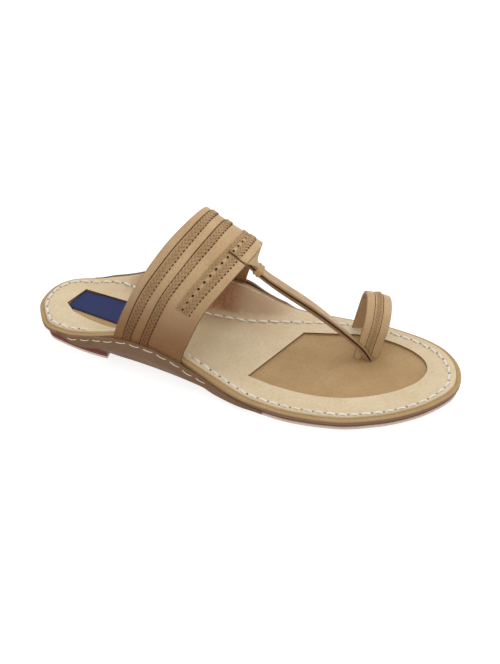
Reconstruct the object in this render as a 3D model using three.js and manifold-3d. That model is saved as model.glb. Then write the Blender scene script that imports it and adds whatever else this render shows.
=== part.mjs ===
// A right-foot kolhapuri sandal: a stacked leather sole with cupped sides, an instep band,
// a folded thong strap and a toe ring. Millimetres, +X to the toe, +Y to the inner side, +Z up.
// Shapes are worked out from x = 0 at the back of the heel; the whole group is then moved so
// that the origin lies on the floor under the middle of the heel.
import * as THREE from 'three';
import { mergeVertices } from 'three/addons/utils/BufferGeometryUtils.js';
import Module from 'manifold-3d';

const wasm = await Module();
wasm.setup();

// ---------------------------------------------------------------- driving dimensions
const soleLength = 268;
const heelCentre = 30;        // from the back of the heel to the origin
const gap = 0.3;              // between neighbouring layers

const outsoleThickness = 2.2;
const topPieceThickness = 2.0;
const heelLiftThickness = 4.1;
const midsoleThickness = 2.4;
const topsoleThickness = 2.7;
const insoleThickness = 1.2;
const strapThickness = 2.0;
const earThickness = 1.8;

const heelBreast = 53.5;        // front of the heel
const outsoleStart = 148;     // back edge of the half outsole
const shankStart = 52;        // where the sole starts to drop from the heel
const shankEnd = 152;         // where it reaches the tread
const springStart = 185;      // where the toe starts to lift
const toeSpring = 5.9;

const midsoleInset = { heel: 3.4, fore: 1.5, from: 34, to: 66 };   // tucked in at the heel
const outsoleInset = 1.6;
const liftInset = { back: 3.6, breast: 0.7, from: 8, to: 44 };      // the heel is rounder than the rim
const topPieceExtra = 0.4;    // the top piece is cut this much smaller than the lift
const insoleInset = 2.9;      // width of the bare brown border
const edgeRound = 0.6;

const cupWidth = { lateral: 15, medial: 19 };   // how far the raised sides reach in from the rim
const rimLip = 2.0;           // level part of the raised side at its rim

// Half widths of the sole each side of the centre line
const outlineRows = [
  { x: 0, lateral: 0.9, medial: -0.9 },
  { x: 3, lateral: 11.3, medial: 14.4 },
  { x: 13.9, lateral: 25, medial: 25.6 },
  { x: 39.7, lateral: 29.4, medial: 32.4 },
  { x: 60, lateral: 31.6, medial: 33.2 },
  { x: 79.4, lateral: 33.6, medial: 33.2 },
  { x: 100, lateral: 36.6, medial: 33.6 },
  { x: 121, lateral: 41.0, medial: 35.0 },
  { x: 151, lateral: 50.3, medial: 39.6 },
  { x: 176.7, lateral: 53.7, medial: 42.8 },
  { x: 202.5, lateral: 51.6, medial: 43.2 },
  { x: 228.3, lateral: 43.4, medial: 38.7 },
  { x: 248, lateral: 32.2, medial: 30.4 },
  { x: 262, lateral: 18.4, medial: 16.4 },
  { x: 268, lateral: 3.9, medial: -3.9 },
];

// How far the cupped sides stand above the flat of the topsole
const rimRows = [
  { x: 0, lateral: 0, medial: 0 },
  { x: 26, lateral: 0, medial: 0 },
  { x: 40, lateral: 3.0, medial: 3.0 },
  { x: 50, lateral: 6.5, medial: 6.3 },
  { x: 60, lateral: 10.2, medial: 10.8 },
  { x: 72, lateral: 12.4, medial: 16.0 },
  { x: 84, lateral: 12.4, medial: 19.0 },
  { x: 96, lateral: 10.8, medial: 20.4 },
  { x: 108, lateral: 8.2, medial: 20.4 },
  { x: 122, lateral: 4.6, medial: 18.4 },
  { x: 134, lateral: 2.2, medial: 12.8 },
  { x: 146, lateral: 0.8, medial: 6.4 },
  { x: 158, lateral: 0, medial: 2.0 },
  { x: 170, lateral: 0, medial: 0.2 },
  { x: 180, lateral: 0, medial: 0 },
  { x: 268, lateral: 0, medial: 0 },
];

// Where the straps pass between the sole and the ears, along each side
const pocket = {
  lateral: { from: 58, to: 108, fade: 14 },
  medial: { from: 76, to: 125, fade: 14 },
};

// The ears: side flaps that cover the waist's edge and hold the strap ends. They start narrow
// under the rim at the heel, and towards the toe their upper edge drops to the midsole.
const ears = {
  lateral: { from: 20, to: 160, rearTaper: 13, frontTaper: 56 },
  medial: { from: 24, to: 172, rearTaper: 13, frontTaper: 24 },
};

// The instep band's back and front edges, from the outer side over the instep to the inner side
const bandBase = {
  back: { lateral: 61, medial: 79 },
  front: { lateral: 105, medial: 122 },
};
const bandTuck = 8;           // how far the band's ends go down below the rim
const backArchRows = [
  { x: 67, y: -30.5, z: 43 },
  { x: 77.5, y: -24.5, z: 66 },
  { x: 89, y: -11.5, z: 84 },
  { x: 98, y: 6, z: 91.5 },
  { x: 101, y: 24, z: 87.5 },
  { x: 96, y: 35.5, z: 71 },
  { x: 87, y: 36.5, z: 47 },
];
const frontArchRows = [
  { x: 110, y: -36.8, z: 35 },
  { x: 117, y: -31.5, z: 52 },
  { x: 127, y: -17.5, z: 65 },
  { x: 134.5, y: 1, z: 71 },
  { x: 137, y: 19, z: 70 },
  { x: 132, y: 34, z: 60 },
  { x: 126, y: 37, z: 43 },
];

// The thong: a strap folded lengthwise, open along one side, from the band down to the toe
const thongHeight = 4.2;
const thongWall = 1.5;
// open is the angle that the mouth is turned up from level; squeeze closes the fold
const thongRows = [
  { x: 126, y: 6, z: 72.8, width: 5.4, open: 0, squeeze: 1 },
  { x: 135, y: 6.8, z: 66.0, width: 5.6, open: 2, squeeze: 1 },
  { x: 144, y: 7.6, z: 57.9, width: 6.2, open: 4, squeeze: 1 },
  { x: 156, y: 8, z: 50.2, width: 6.8, open: 8, squeeze: 1.1 },
  { x: 170, y: 8, z: 42.3, width: 7.2, open: 14, squeeze: 1.1 },
  { x: 184, y: 8, z: 33.0, width: 7.2, open: 22, squeeze: 1 },
  { x: 196, y: 8.1, z: 23.2, width: 7.4, open: 34, squeeze: 0.88 },
  { x: 204.5, y: 8.6, z: 14.3, width: 7.6, open: 46, squeeze: 0.8 },
  { x: 209.5, y: 9.2, z: 5.6, width: 7.6, open: 50, squeeze: 0.8 },
];

// The toe ring: an upright hoop of strap that leans forward, turned to face along the big toe
const ring = {
  foot: { x: 206.9, y: 9.8 },   // middle of the outer leg on the sole
  turn: 17,                     // degrees, the strap's width from +X
  span: 27.5,
  height: 35.6,
  width: 15.2,
  thickness: 2.2,
  lean: 12,                     // degrees forward
  drop: 4.6,                    // how much lower the hoop is at its front edge
};
const strapSink = 1.6;          // how far the ring's legs go into the topsole
const slotClearance = 0.35;

// Cut-outs of the insole, seen from above
const foreWindow = {
  back: [{ x: 144, y: -29 }, { x: 165, y: 20 }, { x: 197, y: 28 }],
  round: [{ x: 213, y: 27.5 }, { x: 225, y: 24.5 }, { x: 236, y: 19 }, { x: 243.5, y: 12 },
    { x: 246.5, y: 4 }, { x: 244, y: -6 }, { x: 235, y: -16 }, { x: 221, y: -25 },
    { x: 202, y: -32 }, { x: 180, y: -34.5 }, { x: 161, y: -33 }],
};
const heelWindow = {
  back: [{ x: 17, y: -1 }, { x: 23.5, y: 15 }, { x: 60, y: 10.5 }],
  round: [{ x: 74, y: 0 }, { x: 65, y: -12 }, { x: 54, y: -15.5 }, { x: 38, y: -13 }, { x: 24, y: -8 }],
};

// Keeper loop round the root of the thong
const keeper = { length: 4.4, wall: 0.9, clearance: 0.35, at: 1.52 };   // at counts rows of the thong

// ---------------------------------------------------------------- small helpers
const clamp = THREE.MathUtils.clamp;
const lerp = THREE.MathUtils.lerp;
const rad = THREE.MathUtils.degToRad;

function smooth(t) {
  const c = clamp(t, 0, 1);
  return c * c * (3 - 2 * c);
}

// Value of one column of a table at a key, by a cubic through the rows that never overshoots
function column(rows, name, key, keyOf = (row) => row.x) {
  const last = rows.length - 1;
  let i = 0;
  while (i < last - 1 && keyOf(rows[i + 1]) <= key) i += 1;
  const slope = (a, b) => (rows[b][name] - rows[a][name]) / (keyOf(rows[b]) - keyOf(rows[a]));
  const tangent = (k) => {
    if (k === 0) return slope(0, 1);
    if (k === last) return slope(last - 1, last);
    const before = slope(k - 1, k);
    const after = slope(k, k + 1);
    if (before * after <= 0) return 0;
    return (2 * before * after) / (before + after);
  };
  const span = keyOf(rows[i + 1]) - keyOf(rows[i]);
  const t = clamp((key - keyOf(rows[i])) / span, 0, 1);
  const t2 = t * t;
  const t3 = t2 * t;
  return rows[i][name] * (2 * t3 - 3 * t2 + 1) + tangent(i) * span * (t3 - 2 * t2 + t)
    + rows[i + 1][name] * (3 * t2 - 2 * t3) + tangent(i + 1) * span * (t3 - t2);
}

// The outline is followed by an angle u: 0 at the heel tip, pi at the toe tip
const angleOf = (x) => Math.acos(clamp(1 - (2 * x) / soleLength, -1, 1));
const stationOf = (u) => (soleLength / 2) * (1 - Math.cos(u));
const rowAngle = (row) => angleOf(row.x);
const halfWidth = (x, side) => column(outlineRows, side, angleOf(x), rowAngle);
const sign = { lateral: -1, medial: 1 };

// Point of the outline moved inward by an inset (negative moves it outward)
function edgePoint(u, side, inset) {
  const point = (angle) => {
    const width = column(outlineRows, side, angle, rowAngle);
    return new THREE.Vector2(stationOf(angle), sign[side] * width);
  };
  const step = 0.004;
  const along = point(Math.min(u + step, Math.PI)).sub(point(Math.max(u - step, 0))).normalize();
  const inward = new THREE.Vector2(along.y, -along.x).multiplyScalar(sign[side]);
  return point(u).addScaledVector(inward, inset);
}

// ---------------------------------------------------------------- heights of the sole
const spring = (x) => toeSpring * Math.max(0, (x - springStart) / (soleLength - springStart)) ** 2;
const heelHeight = topPieceThickness + gap + heelLiftThickness + gap;
const treadHeight = outsoleThickness + gap;
function midsoleBottom(x) {
  const drop = smooth((x - shankStart) / (shankEnd - shankStart));
  return lerp(heelHeight, treadHeight, drop) + spring(x);
}
function liftEdge(x) {
  const { back, breast, from, to } = liftInset;
  return lerp(back, breast, smooth((x - from) / (to - from)));
}
function midsoleEdge(x) {
  const { heel, fore, from, to } = midsoleInset;
  return lerp(heel, fore, smooth((x - from) / (to - from)));
}
const topsoleBottom = (x) => midsoleBottom(x) + midsoleThickness + gap;
const topsoleFlat = (x) => topsoleBottom(x) + topsoleThickness;
const rimHeight = (x, side) => topsoleFlat(x) + column(rimRows, side, x);

// Top of the topsole at any place: flat in the middle, cupped up to the rim at the waist
function topsoleTop(x, y) {
  const side = y < 0 ? 'lateral' : 'medial';
  const toRim = halfWidth(x, side) - Math.abs(y);
  const rise = 1 - smooth((toRim - rimLip) / (cupWidth[side] - rimLip));
  return topsoleFlat(x) + column(rimRows, side, x) * rise;
}

// ---------------------------------------------------------------- making closed solids
function toGeometry(points, faces) {
  const geometry = new THREE.BufferGeometry();
  geometry.setAttribute('position', new THREE.Float32BufferAttribute(points.flatMap((p) => [p.x, p.y, p.z]), 3));
  geometry.setIndex(faces.flat());
  return geometry;
}

// Skin over a row of rings with the same number of points, closed at both ends. A ring's
// points run so that the faces point outward; flip turns them round.
function loft(rings, capOutline, flip = false) {
  const count = rings[0].length;
  const faces = [];
  for (let i = 0; i < rings.length - 1; i += 1) {
    for (let j = 0; j < count; j += 1) {
      const a = i * count + j;
      const b = i * count + ((j + 1) % count);
      faces.push([a, b, b + count], [a, b + count, a + count]);
    }
  }
  const cap = THREE.ShapeUtils.triangulateShape(capOutline, []);
  const end = (rings.length - 1) * count;
  const area = THREE.ShapeUtils.area(capOutline);
  for (const [a, b, c] of cap) {
    faces.push(area > 0 ? [a, c, b] : [a, b, c]);
    faces.push(area > 0 ? [end + a, end + b, end + c] : [end + a, end + c, end + b]);
  }
  return toGeometry(rings.flat(), flip ? faces.map(([a, b, c]) => [a, c, b]) : faces);
}

function toManifold(geometry) {
  const merged = mergeVertices(geometry, 1e-4);
  return new wasm.Manifold(new wasm.Mesh({
    numProp: 3,
    vertProperties: new Float32Array(merged.attributes.position.array),
    triVerts: new Uint32Array(merged.index.array),
  }));
}

function fromManifold(solid) {
  const mesh = solid.getMesh();
  const geometry = new THREE.BufferGeometry();
  geometry.setAttribute('position', new THREE.BufferAttribute(new Float32Array(mesh.vertProperties), 3));
  geometry.setIndex(new THREE.BufferAttribute(new Uint32Array(mesh.triVerts), 1));
  return geometry;
}

const leather = (color, roughness) => new THREE.MeshStandardMaterial({ color, roughness, metalness: 0 });
const materials = {
  tanUpper: leather(0xa98c62, 0.5),
  brownSole: leather(0xa5875c, 0.55),
  creamInsole: leather(0xd8c19c, 0.6),
  redBrown: leather(0x7a5640, 0.65),
  darkLift: leather(0x5c2f25, 0.6),
  paleOutsole: leather(0xb8a098, 0.75),
};

// Angles of the stations from x = from to x = to, closer together near the tips
function stations(from, to, count) {
  const first = Math.max(angleOf(from), 0.05);
  const last = Math.min(angleOf(to), Math.PI - 0.05);
  return Array.from({ length: count }, (_, i) => lerp(first, last, i / (count - 1)));
}

// ---------------------------------------------------------------- flat layers of the sole
// inset, bottom and top give the edge and the heights at x
function soleLayer({ from, to, count, inset, bottom, top }) {
  const section = [
    { side: 'lateral', ease: edgeRound, level: 0, up: 0 },
    { side: 'medial', ease: edgeRound, level: 0, up: 0 },
    { side: 'medial', ease: 0, level: 0, up: edgeRound },
    { side: 'medial', ease: 0, level: 1, up: -edgeRound },
    { side: 'medial', ease: edgeRound, level: 1, up: 0 },
    { side: 'lateral', ease: edgeRound, level: 1, up: 0 },
    { side: 'lateral', ease: 0, level: 1, up: -edgeRound },
    { side: 'lateral', ease: 0, level: 0, up: edgeRound },
  ];
  const rings = stations(from, to, count).map((u) => section.map((corner) => {
    const p = edgePoint(u, corner.side, inset(stationOf(u)) + corner.ease);
    const height = corner.level === 0 ? bottom(p.x) : top(p.x);
    return new THREE.Vector3(p.x, p.y, height + corner.up);
  }));
  return loft(rings, rings[Math.floor(count / 2)].map((p) => new THREE.Vector2(p.y, p.z)));
}

function heelTopPiece() {
  return soleLayer({
    from: 0, to: heelBreast, count: 18, inset: (x) => liftEdge(x) + topPieceExtra, bottom: () => 0, top: () => topPieceThickness,
  });
}

function heelLift() {
  const bottom = topPieceThickness + gap;
  return soleLayer({
    from: 0, to: heelBreast, count: 18, inset: liftEdge, bottom: () => bottom, top: () => bottom + heelLiftThickness,
  });
}

function outsole() {
  return soleLayer({
    from: outsoleStart, to: soleLength, count: 26, inset: () => outsoleInset,
    bottom: (x) => spring(x), top: (x) => outsoleThickness + spring(x),
  });
}

function midsole() {
  return soleLayer({
    from: 0, to: soleLength, count: 40, inset: midsoleEdge,
    bottom: midsoleBottom, top: (x) => midsoleBottom(x) + midsoleThickness,
  });
}

// ---------------------------------------------------------------- topsole with its cupped waist
// Distances in from the edge at which the upper face is followed, the last on the level middle
const crossSteps = [0, 2.2, 4.4, 6.8, 9.2, 11.8, 15.5];

const tipRoom = 3.2;          // half width at the first and last stations, where the line is straight
const soleStations = 48;

// Points across the sole's upper face inside the insole's edge, from the outer side to the
// inner one; topsole and insole share them, so that their facets lie parallel
function across(u) {
  const x = stationOf(u);
  const line = (side) => {
    const room = (halfWidth(x, 'lateral') + halfWidth(x, 'medial')) / 2;
    const scale = clamp((room - tipRoom) / 22, 0, 1);
    return crossSteps.map((step) => edgePoint(u, side, insoleInset + step * scale));
  };
  return [...line('lateral'), ...line('medial').reverse()];
}

function topsole() {
  const rings = stations(0, soleLength, soleStations).map((u) => {
    const line = [edgePoint(u, 'lateral', edgeRound), ...across(u), edgePoint(u, 'medial', edgeRound)];
    const top = line.map((p) => new THREE.Vector3(p.x, p.y, topsoleTop(p.x, p.y)));
    const side = (name) => {
      const p = edgePoint(u, name, 0);
      return [rimHeight(p.x, name) - edgeRound, topsoleBottom(p.x) + edgeRound]
        .map((z) => new THREE.Vector3(p.x, p.y, z));
    };
    const foot = (name) => {
      const p = edgePoint(u, name, edgeRound);
      return new THREE.Vector3(p.x, p.y, topsoleBottom(p.x));
    };
    return [foot('lateral'), foot('medial'), ...side('medial').reverse(), ...top.reverse(), ...side('lateral')];
  });
  return loft(rings, rings[soleStations / 2].map((p) => new THREE.Vector2(p.y, p.z)));
}

// Unit normal of the topsole's upper face
function topsoleNormal(x, y) {
  const d = 0.5;
  const slopeX = (topsoleTop(x + d, y) - topsoleTop(x - d, y)) / (2 * d);
  const slopeY = (topsoleTop(x, y + d) - topsoleTop(x, y - d)) / (2 * d);
  return new THREE.Vector3(-slopeX, -slopeY, 1).normalize();
}

function windowCutter({ back, round }) {
  const shape = new THREE.Shape();
  shape.moveTo(back[0].x, back[0].y);
  back.slice(1).forEach((p) => shape.lineTo(p.x, p.y));
  shape.splineThru(round.map((p) => new THREE.Vector2(p.x, p.y)));
  const tall = 60;
  const prism = new THREE.ExtrudeGeometry(shape, { depth: tall, bevelEnabled: false, curveSegments: 22 });
  return positionsOnly(prism.translate(0, 0, -tall / 4));
}

function positionsOnly(geometry) {
  geometry.deleteAttribute('normal');
  geometry.deleteAttribute('uv');
  return toManifold(geometry);
}

// The insole lies on the topsole, so its points are moved out along the topsole's normals.
// Its rings run from the toe back, which splits its lower facets the way the topsole's are split.
function insole() {
  const lift = (p, height) => {
    const base = new THREE.Vector3(p.x, p.y, topsoleTop(p.x, p.y));
    return base.addScaledVector(topsoleNormal(p.x, p.y), height);
  };
  const rings = stations(0, soleLength, soleStations).reverse().map((u) => {
    const line = across(u);
    return [
      ...line.map((p) => lift(p, gap)),
      ...line.toReversed().map((p) => lift(p, gap + insoleThickness)),
    ];
  });
  const outline = rings[soleStations / 2].map((p) => new THREE.Vector2(p.y, p.z));
  const sheet = toManifold(loft(rings, outline, true));
  return sheet.subtract(windowCutter(foreWindow)).subtract(windowCutter(heelWindow));
}

// ---------------------------------------------------------------- ears
const pocketDepth = strapThickness + gap;
function pocketOffset(x, side) {
  const { from, to, fade } = pocket[side];
  return gap + pocketDepth * smooth((x - from) / fade + 1) * smooth((to - x) / fade + 1);
}

// Where the ear's inner face stands at a height: off the rim by the pocket, then leaning in
// below the strap's end to the edge of the midsole
function earLean(x, side, z) {
  const tuckEnd = rimHeight(x, side) - bandTuck - 0.6;
  const knee = Math.min(topsoleBottom(x) - 0.2, tuckEnd - 0.2);
  const offset = pocketOffset(x, side);
  if (z >= tuckEnd) return -offset;
  if (z >= knee) return lerp(-gap, -offset, (z - knee) / (tuckEnd - knee));
  return lerp(midsoleEdge(x) - gap, -gap, clamp((z - midsoleBottom(x)) / (knee - midsoleBottom(x)), 0, 1));
}

function ear(side) {
  const { from, to, rearTaper, frontTaper } = ears[side];
  const rings = stations(from, to, 30).map((u) => {
    const x = stationOf(u);
    const rear = smooth((x - from) / rearTaper);
    const front = clamp((to - x) / frontTaper, 0, 1);
    const base = midsoleBottom(x) + 0.3;
    const top = lerp(base + 2, rimHeight(x, side) - 0.3, front);
    const bottom = lerp(top - 2, base, rear);
    const knee = clamp(topsoleBottom(x) - 0.2, bottom + 0.4, top - 1.2);
    const tuckEnd = clamp(rimHeight(x, side) - bandTuck - 0.6, knee + 0.4, top - 0.7);
    const wall = lerp(0.7, earThickness, rear * smooth(2 * front));
    const face = (z, out, ease = 0) => ({ inset: earLean(x, side, z) - out * wall + ease, z });
    return [
      face(bottom, 0),
      face(bottom, 1, edgeRound / 2),
      face(knee, 1),
      face(tuckEnd, 1),
      face(top - edgeRound, 1),
      { inset: earLean(x, side, top) - wall + edgeRound, z: top },
      face(top, 0),
      face(tuckEnd, 0),
      face(knee, 0),
    ].map((corner) => {
      const p = edgePoint(u, side, corner.inset);
      return new THREE.Vector3(p.x, p.y, corner.z);
    });
  });
  const outline = rings[15].map((p) => new THREE.Vector2(p.y, p.z));
  return loft(rings, outline, side === 'lateral');
}

// ---------------------------------------------------------------- upper
const bandAlong = 9;          // divisions from the band's back edge to its front edge
const bandAround = 30;        // divisions over the foot

// One line of the band's middle surface, from the outer pocket over the instep to the inner one
function archCurve(s) {
  const end = (side) => {
    const x = lerp(bandBase.back[side], bandBase.front[side], s);
    const middle = -(gap + strapThickness / 2);
    const p = edgePoint(angleOf(x), side, middle);
    const rim = rimHeight(x, side);
    return [rim - bandTuck, rim - bandTuck / 2, rim + 0.5].map((z) => new THREE.Vector3(p.x, p.y, z));
  };
  const over = backArchRows.map((row, i) => new THREE.Vector3(row.x, row.y, row.z)
    .lerp(new THREE.Vector3(frontArchRows[i].x, frontArchRows[i].y, frontArchRows[i].z), s));
  return new THREE.CatmullRomCurve3([...end('lateral'), ...over, ...end('medial').reverse()], false, 'centripetal');
}

function bandSolid() {
  const curves = Array.from({ length: bandAlong + 1 }, (_, i) => archCurve(i / bandAlong).getSpacedPoints(bandAround));
  const normal = (i, j) => {
    const before = curves[Math.max(i - 1, 0)][j];
    const after = curves[Math.min(i + 1, bandAlong)][j];
    const left = curves[i][Math.max(j - 1, 0)];
    const right = curves[i][Math.min(j + 1, bandAround)];
    const tangentS = after.clone().sub(before);
    return tangentS.cross(right.clone().sub(left)).normalize();
  };
  const half = strapThickness / 2;
  const face = (i, j, side) => curves[i][j].clone().addScaledVector(normal(i, j), side * half);
  const rings = Array.from({ length: bandAround + 1 }, (_, j) => [
    ...Array.from({ length: bandAlong + 1 }, (_, i) => face(i, j, 1)),
    ...Array.from({ length: bandAlong + 1 }, (_, i) => face(bandAlong - i, j, -1)),
  ]);
  return loft(rings, rings[0].map((p) => new THREE.Vector2(p.x, p.y)));
}

// Frame of the thong at t: its path, the way its open side faces and the way its top faces
const thongPath = new THREE.CatmullRomCurve3(thongRows.map((row) => new THREE.Vector3(row.x, row.y, row.z)));
function thongFrame(t) {
  const at = t * (thongRows.length - 1);
  const keyOf = (row) => thongRows.indexOf(row);
  const open = rad(column(thongRows, 'open', at, keyOf));
  const squeeze = column(thongRows, 'squeeze', at, keyOf);
  const width = column(thongRows, 'width', at, keyOf);
  const centre = thongPath.getPoint(t);
  const along = thongPath.getTangent(t);
  const level = new THREE.Vector3(0, -1, 0).addScaledVector(along, along.y).normalize();
  const up = along.clone().cross(level).negate();
  const mouth = level.clone().multiplyScalar(Math.cos(open)).addScaledVector(up, Math.sin(open));
  const crown = along.clone().cross(mouth).negate();
  return { centre, mouth, crown, squeeze, width };
}

// Section of the folded strap: a C whose mouth looks along +a; b runs from the lower ply to the upper
const fold = (width) => {
  const w = width / 2;
  const h = thongHeight / 2;
  const inner = -w + thongWall;
  const round = 1.1;
  return [
    { a: w, b: -h }, { a: w, b: -h + thongWall }, { a: inner, b: -h + thongWall }, { a: inner, b: h - thongWall },
    { a: w, b: h - thongWall }, { a: w, b: h }, { a: -w + round, b: h }, { a: -w, b: h - round },
    { a: -w, b: -h + round }, { a: -w + round, b: -h },
  ];
};

// Closed section with eased corners that stands a little off the strap all round
const sleeveSection = (grow) => (width) => {
  const w = width / 2 + grow;
  const h = thongHeight / 2 + grow;
  const round = 0.4;
  return [
    { a: w - round, b: -h }, { a: w, b: -h + round }, { a: w, b: h - round }, { a: w - round, b: h },
    { a: -w + round, b: h }, { a: -w, b: h - round }, { a: -w, b: -h + round }, { a: -w + round, b: -h },
  ];
};

function sweepThong(sectionAt, from, to, count) {
  const rings = Array.from({ length: count }, (_, i) => {
    const { centre, mouth, crown, squeeze, width } = thongFrame(lerp(from, to, i / (count - 1)));
    return sectionAt(width).map(({ a, b }) => centre.clone()
      .addScaledVector(mouth, a).addScaledVector(crown, b * squeeze));
  });
  return toManifold(loft(rings, sectionAt(thongRows[0].width).map(({ a, b }) => new THREE.Vector2(a, b)), true));
}

// The ring's directions: along its width, across the toe and up along its lean
const ringWidthAxis = new THREE.Vector3(Math.cos(rad(ring.turn)), Math.sin(rad(ring.turn)), 0);
const ringSpanAxis = new THREE.Vector3(-ringWidthAxis.y, ringWidthAxis.x, 0);
const ringUpAxis = new THREE.Vector3(0, 0, 1).addScaledVector(ringWidthAxis, Math.tan(rad(ring.lean)));

// Middle line of the hoop: up one leg, half round, down the other; then its outward direction
function ringLine(below) {
  const radius = ring.span / 2;
  const floor = topsoleFlat(ring.foot.x) - below;
  const legTop = topsoleFlat(ring.foot.x) + ring.height - radius;
  const start = new THREE.Vector3(ring.foot.x, ring.foot.y, 0);
  const place = (across, z) => start.clone().addScaledVector(ringSpanAxis, across)
    .addScaledVector(ringUpAxis, z - topsoleFlat(ring.foot.x)).setZ(z);
  const line = [];
  const legSteps = 3;
  const arcSteps = 12;
  for (let i = 0; i < legSteps; i += 1) {
    line.push({ at: place(0, lerp(floor, legTop, i / legSteps)), out: ringSpanAxis.clone().negate() });
  }
  for (let i = 0; i <= arcSteps; i += 1) {
    const angle = Math.PI * (i / arcSteps);
    const out = ringSpanAxis.clone().multiplyScalar(-Math.cos(angle)).add(new THREE.Vector3(0, 0, Math.sin(angle)));
    line.push({ at: place(radius * (1 - Math.cos(angle)), legTop + radius * Math.sin(angle)), out });
  }
  for (let i = 1; i <= legSteps; i += 1) {
    line.push({ at: place(ring.span, lerp(legTop, floor, i / legSteps)), out: ringSpanAxis.clone() });
  }
  return line;
}

// The toe is slimmer in front, so the hoop's height shrinks towards its front edge
function lowered(point, a) {
  const floor = topsoleFlat(ring.foot.x);
  const forward = clamp((a + ring.width / 2) / ring.width, 0, 1) ** 1.6;
  return point.setZ(point.z - Math.max(point.z - floor, 0) * (ring.drop / ring.height) * forward);
}

function hoop(below, extra) {
  const w = ring.width / 2 + extra;
  const h = ring.thickness / 2 + extra;
  const section = [{ a: -w, b: -h }, { a: 0, b: -h }, { a: w, b: -h }, { a: w, b: h }, { a: 0, b: h }, { a: -w, b: h }];
  const rings = ringLine(below).map(({ at, out }) => section.map(({ a, b }) => lowered(at.clone()
    .addScaledVector(ringWidthAxis, a).addScaledVector(out, b), a)));
  return loft(rings, section.map(({ a, b }) => new THREE.Vector2(a, b)), true);
}

const ringSolid = (below, extra) => toManifold(hoop(below, extra));

// The thong stops just above the topsole, against the ring's outer leg
function thongSolid() {
  const foot = thongRows[thongRows.length - 1];
  const floor = topsoleFlat(foot.x) + gap;
  const below = new THREE.BoxGeometry(40, 40, 20).translate(foot.x, foot.y, floor - 10);
  return sweepThong(fold, 0, 1, 26).subtract(positionsOnly(below));
}

function upper() {
  return toManifold(bandSolid()).add(thongSolid()).add(ringSolid(strapSink, 0));
}

function keeperLoop() {
  const middle = keeper.at / (thongRows.length - 1);
  const step = 0.01;
  const speed = thongPath.getPoint(middle + step).distanceTo(thongPath.getPoint(middle - step)) / (2 * step);
  const half = keeper.length / 2 / speed;
  const sleeve = (grow, extra) => sweepThong(sleeveSection(grow), middle - half - extra, middle + half + extra, 4);
  return sleeve(keeper.clearance + keeper.wall, 0).subtract(sleeve(keeper.clearance, 0.02));
}

// ---------------------------------------------------------------- assembly
// The slots that the ring's legs go into, a little larger than the straps
const slots = ringSolid(strapSink + slotClearance, slotClearance);
const pieces = [
  ['heel_top_piece', heelTopPiece(), materials.paleOutsole],
  ['heel_lift', heelLift(), materials.darkLift],
  ['outsole', outsole(), materials.paleOutsole],
  ['midsole', midsole(), materials.redBrown],
  ['topsole', fromManifold(toManifold(topsole()).subtract(slots)), materials.brownSole],
  ['insole', fromManifold(insole().subtract(slots)), materials.creamInsole],
  ['ear_lateral', ear('lateral'), materials.brownSole],
  ['ear_medial', ear('medial'), materials.brownSole],
  ['upper', fromManifold(upper()), materials.tanUpper],
  ['keeper_loop', fromManifold(keeperLoop()), materials.tanUpper],
];

const sandal = new THREE.Group();
for (const [name, geometry, material] of pieces) {
  const mesh = new THREE.Mesh(geometry, material);
  mesh.name = name;
  sandal.add(mesh);
}
sandal.position.x = -heelCentre;

export default sandal;
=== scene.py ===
# %% [markdown]
# # A kolhapuri sandal, leather by leather
#
# A kolhapuri is a flat sandal from the Deccan, made of vegetable-tanned hide and very little else.
# A stacked leather heel and a half outsole carry a long sole, whose sides are cupped up at the waist.
# A wide band crosses the instep, a folded strap runs from it to the toe, and a ring holds the big toe.
#
# The measured model of the sandal is already packed. Here it is loaded as a fixed frame, and each
# layer is built again around it with finer meshes, real plaits and stitches, and leather materials.

# %% Load the packed sandal
import math

import bmesh
import bpy
import numpy as np
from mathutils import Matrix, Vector
from mathutils.geometry import delaunay_2d_cdt


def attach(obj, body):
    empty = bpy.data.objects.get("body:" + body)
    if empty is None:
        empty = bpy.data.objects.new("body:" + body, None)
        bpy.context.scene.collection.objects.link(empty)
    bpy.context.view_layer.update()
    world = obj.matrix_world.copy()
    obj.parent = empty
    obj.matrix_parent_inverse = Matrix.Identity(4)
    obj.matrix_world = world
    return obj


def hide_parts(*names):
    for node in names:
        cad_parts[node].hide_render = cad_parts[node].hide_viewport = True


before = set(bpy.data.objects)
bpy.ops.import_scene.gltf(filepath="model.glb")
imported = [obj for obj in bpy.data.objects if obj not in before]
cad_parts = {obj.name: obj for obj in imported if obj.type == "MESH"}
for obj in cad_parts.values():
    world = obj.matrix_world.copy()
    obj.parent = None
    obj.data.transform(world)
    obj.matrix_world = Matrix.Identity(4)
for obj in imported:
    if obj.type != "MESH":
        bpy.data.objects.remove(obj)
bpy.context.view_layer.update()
print("packed nodes:", ", ".join(sorted(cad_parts)))

# %% [markdown]
# ## The shoe's own sizes
#
# A shoemaker works in millimetres from the back of the heel, so every size below is in millimetres
# with x from the heel to the toe, y to the inner side of the foot and z up from the floor.
# One function moves such points into the frame, which is in metres with its origin under the heel.

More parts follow.
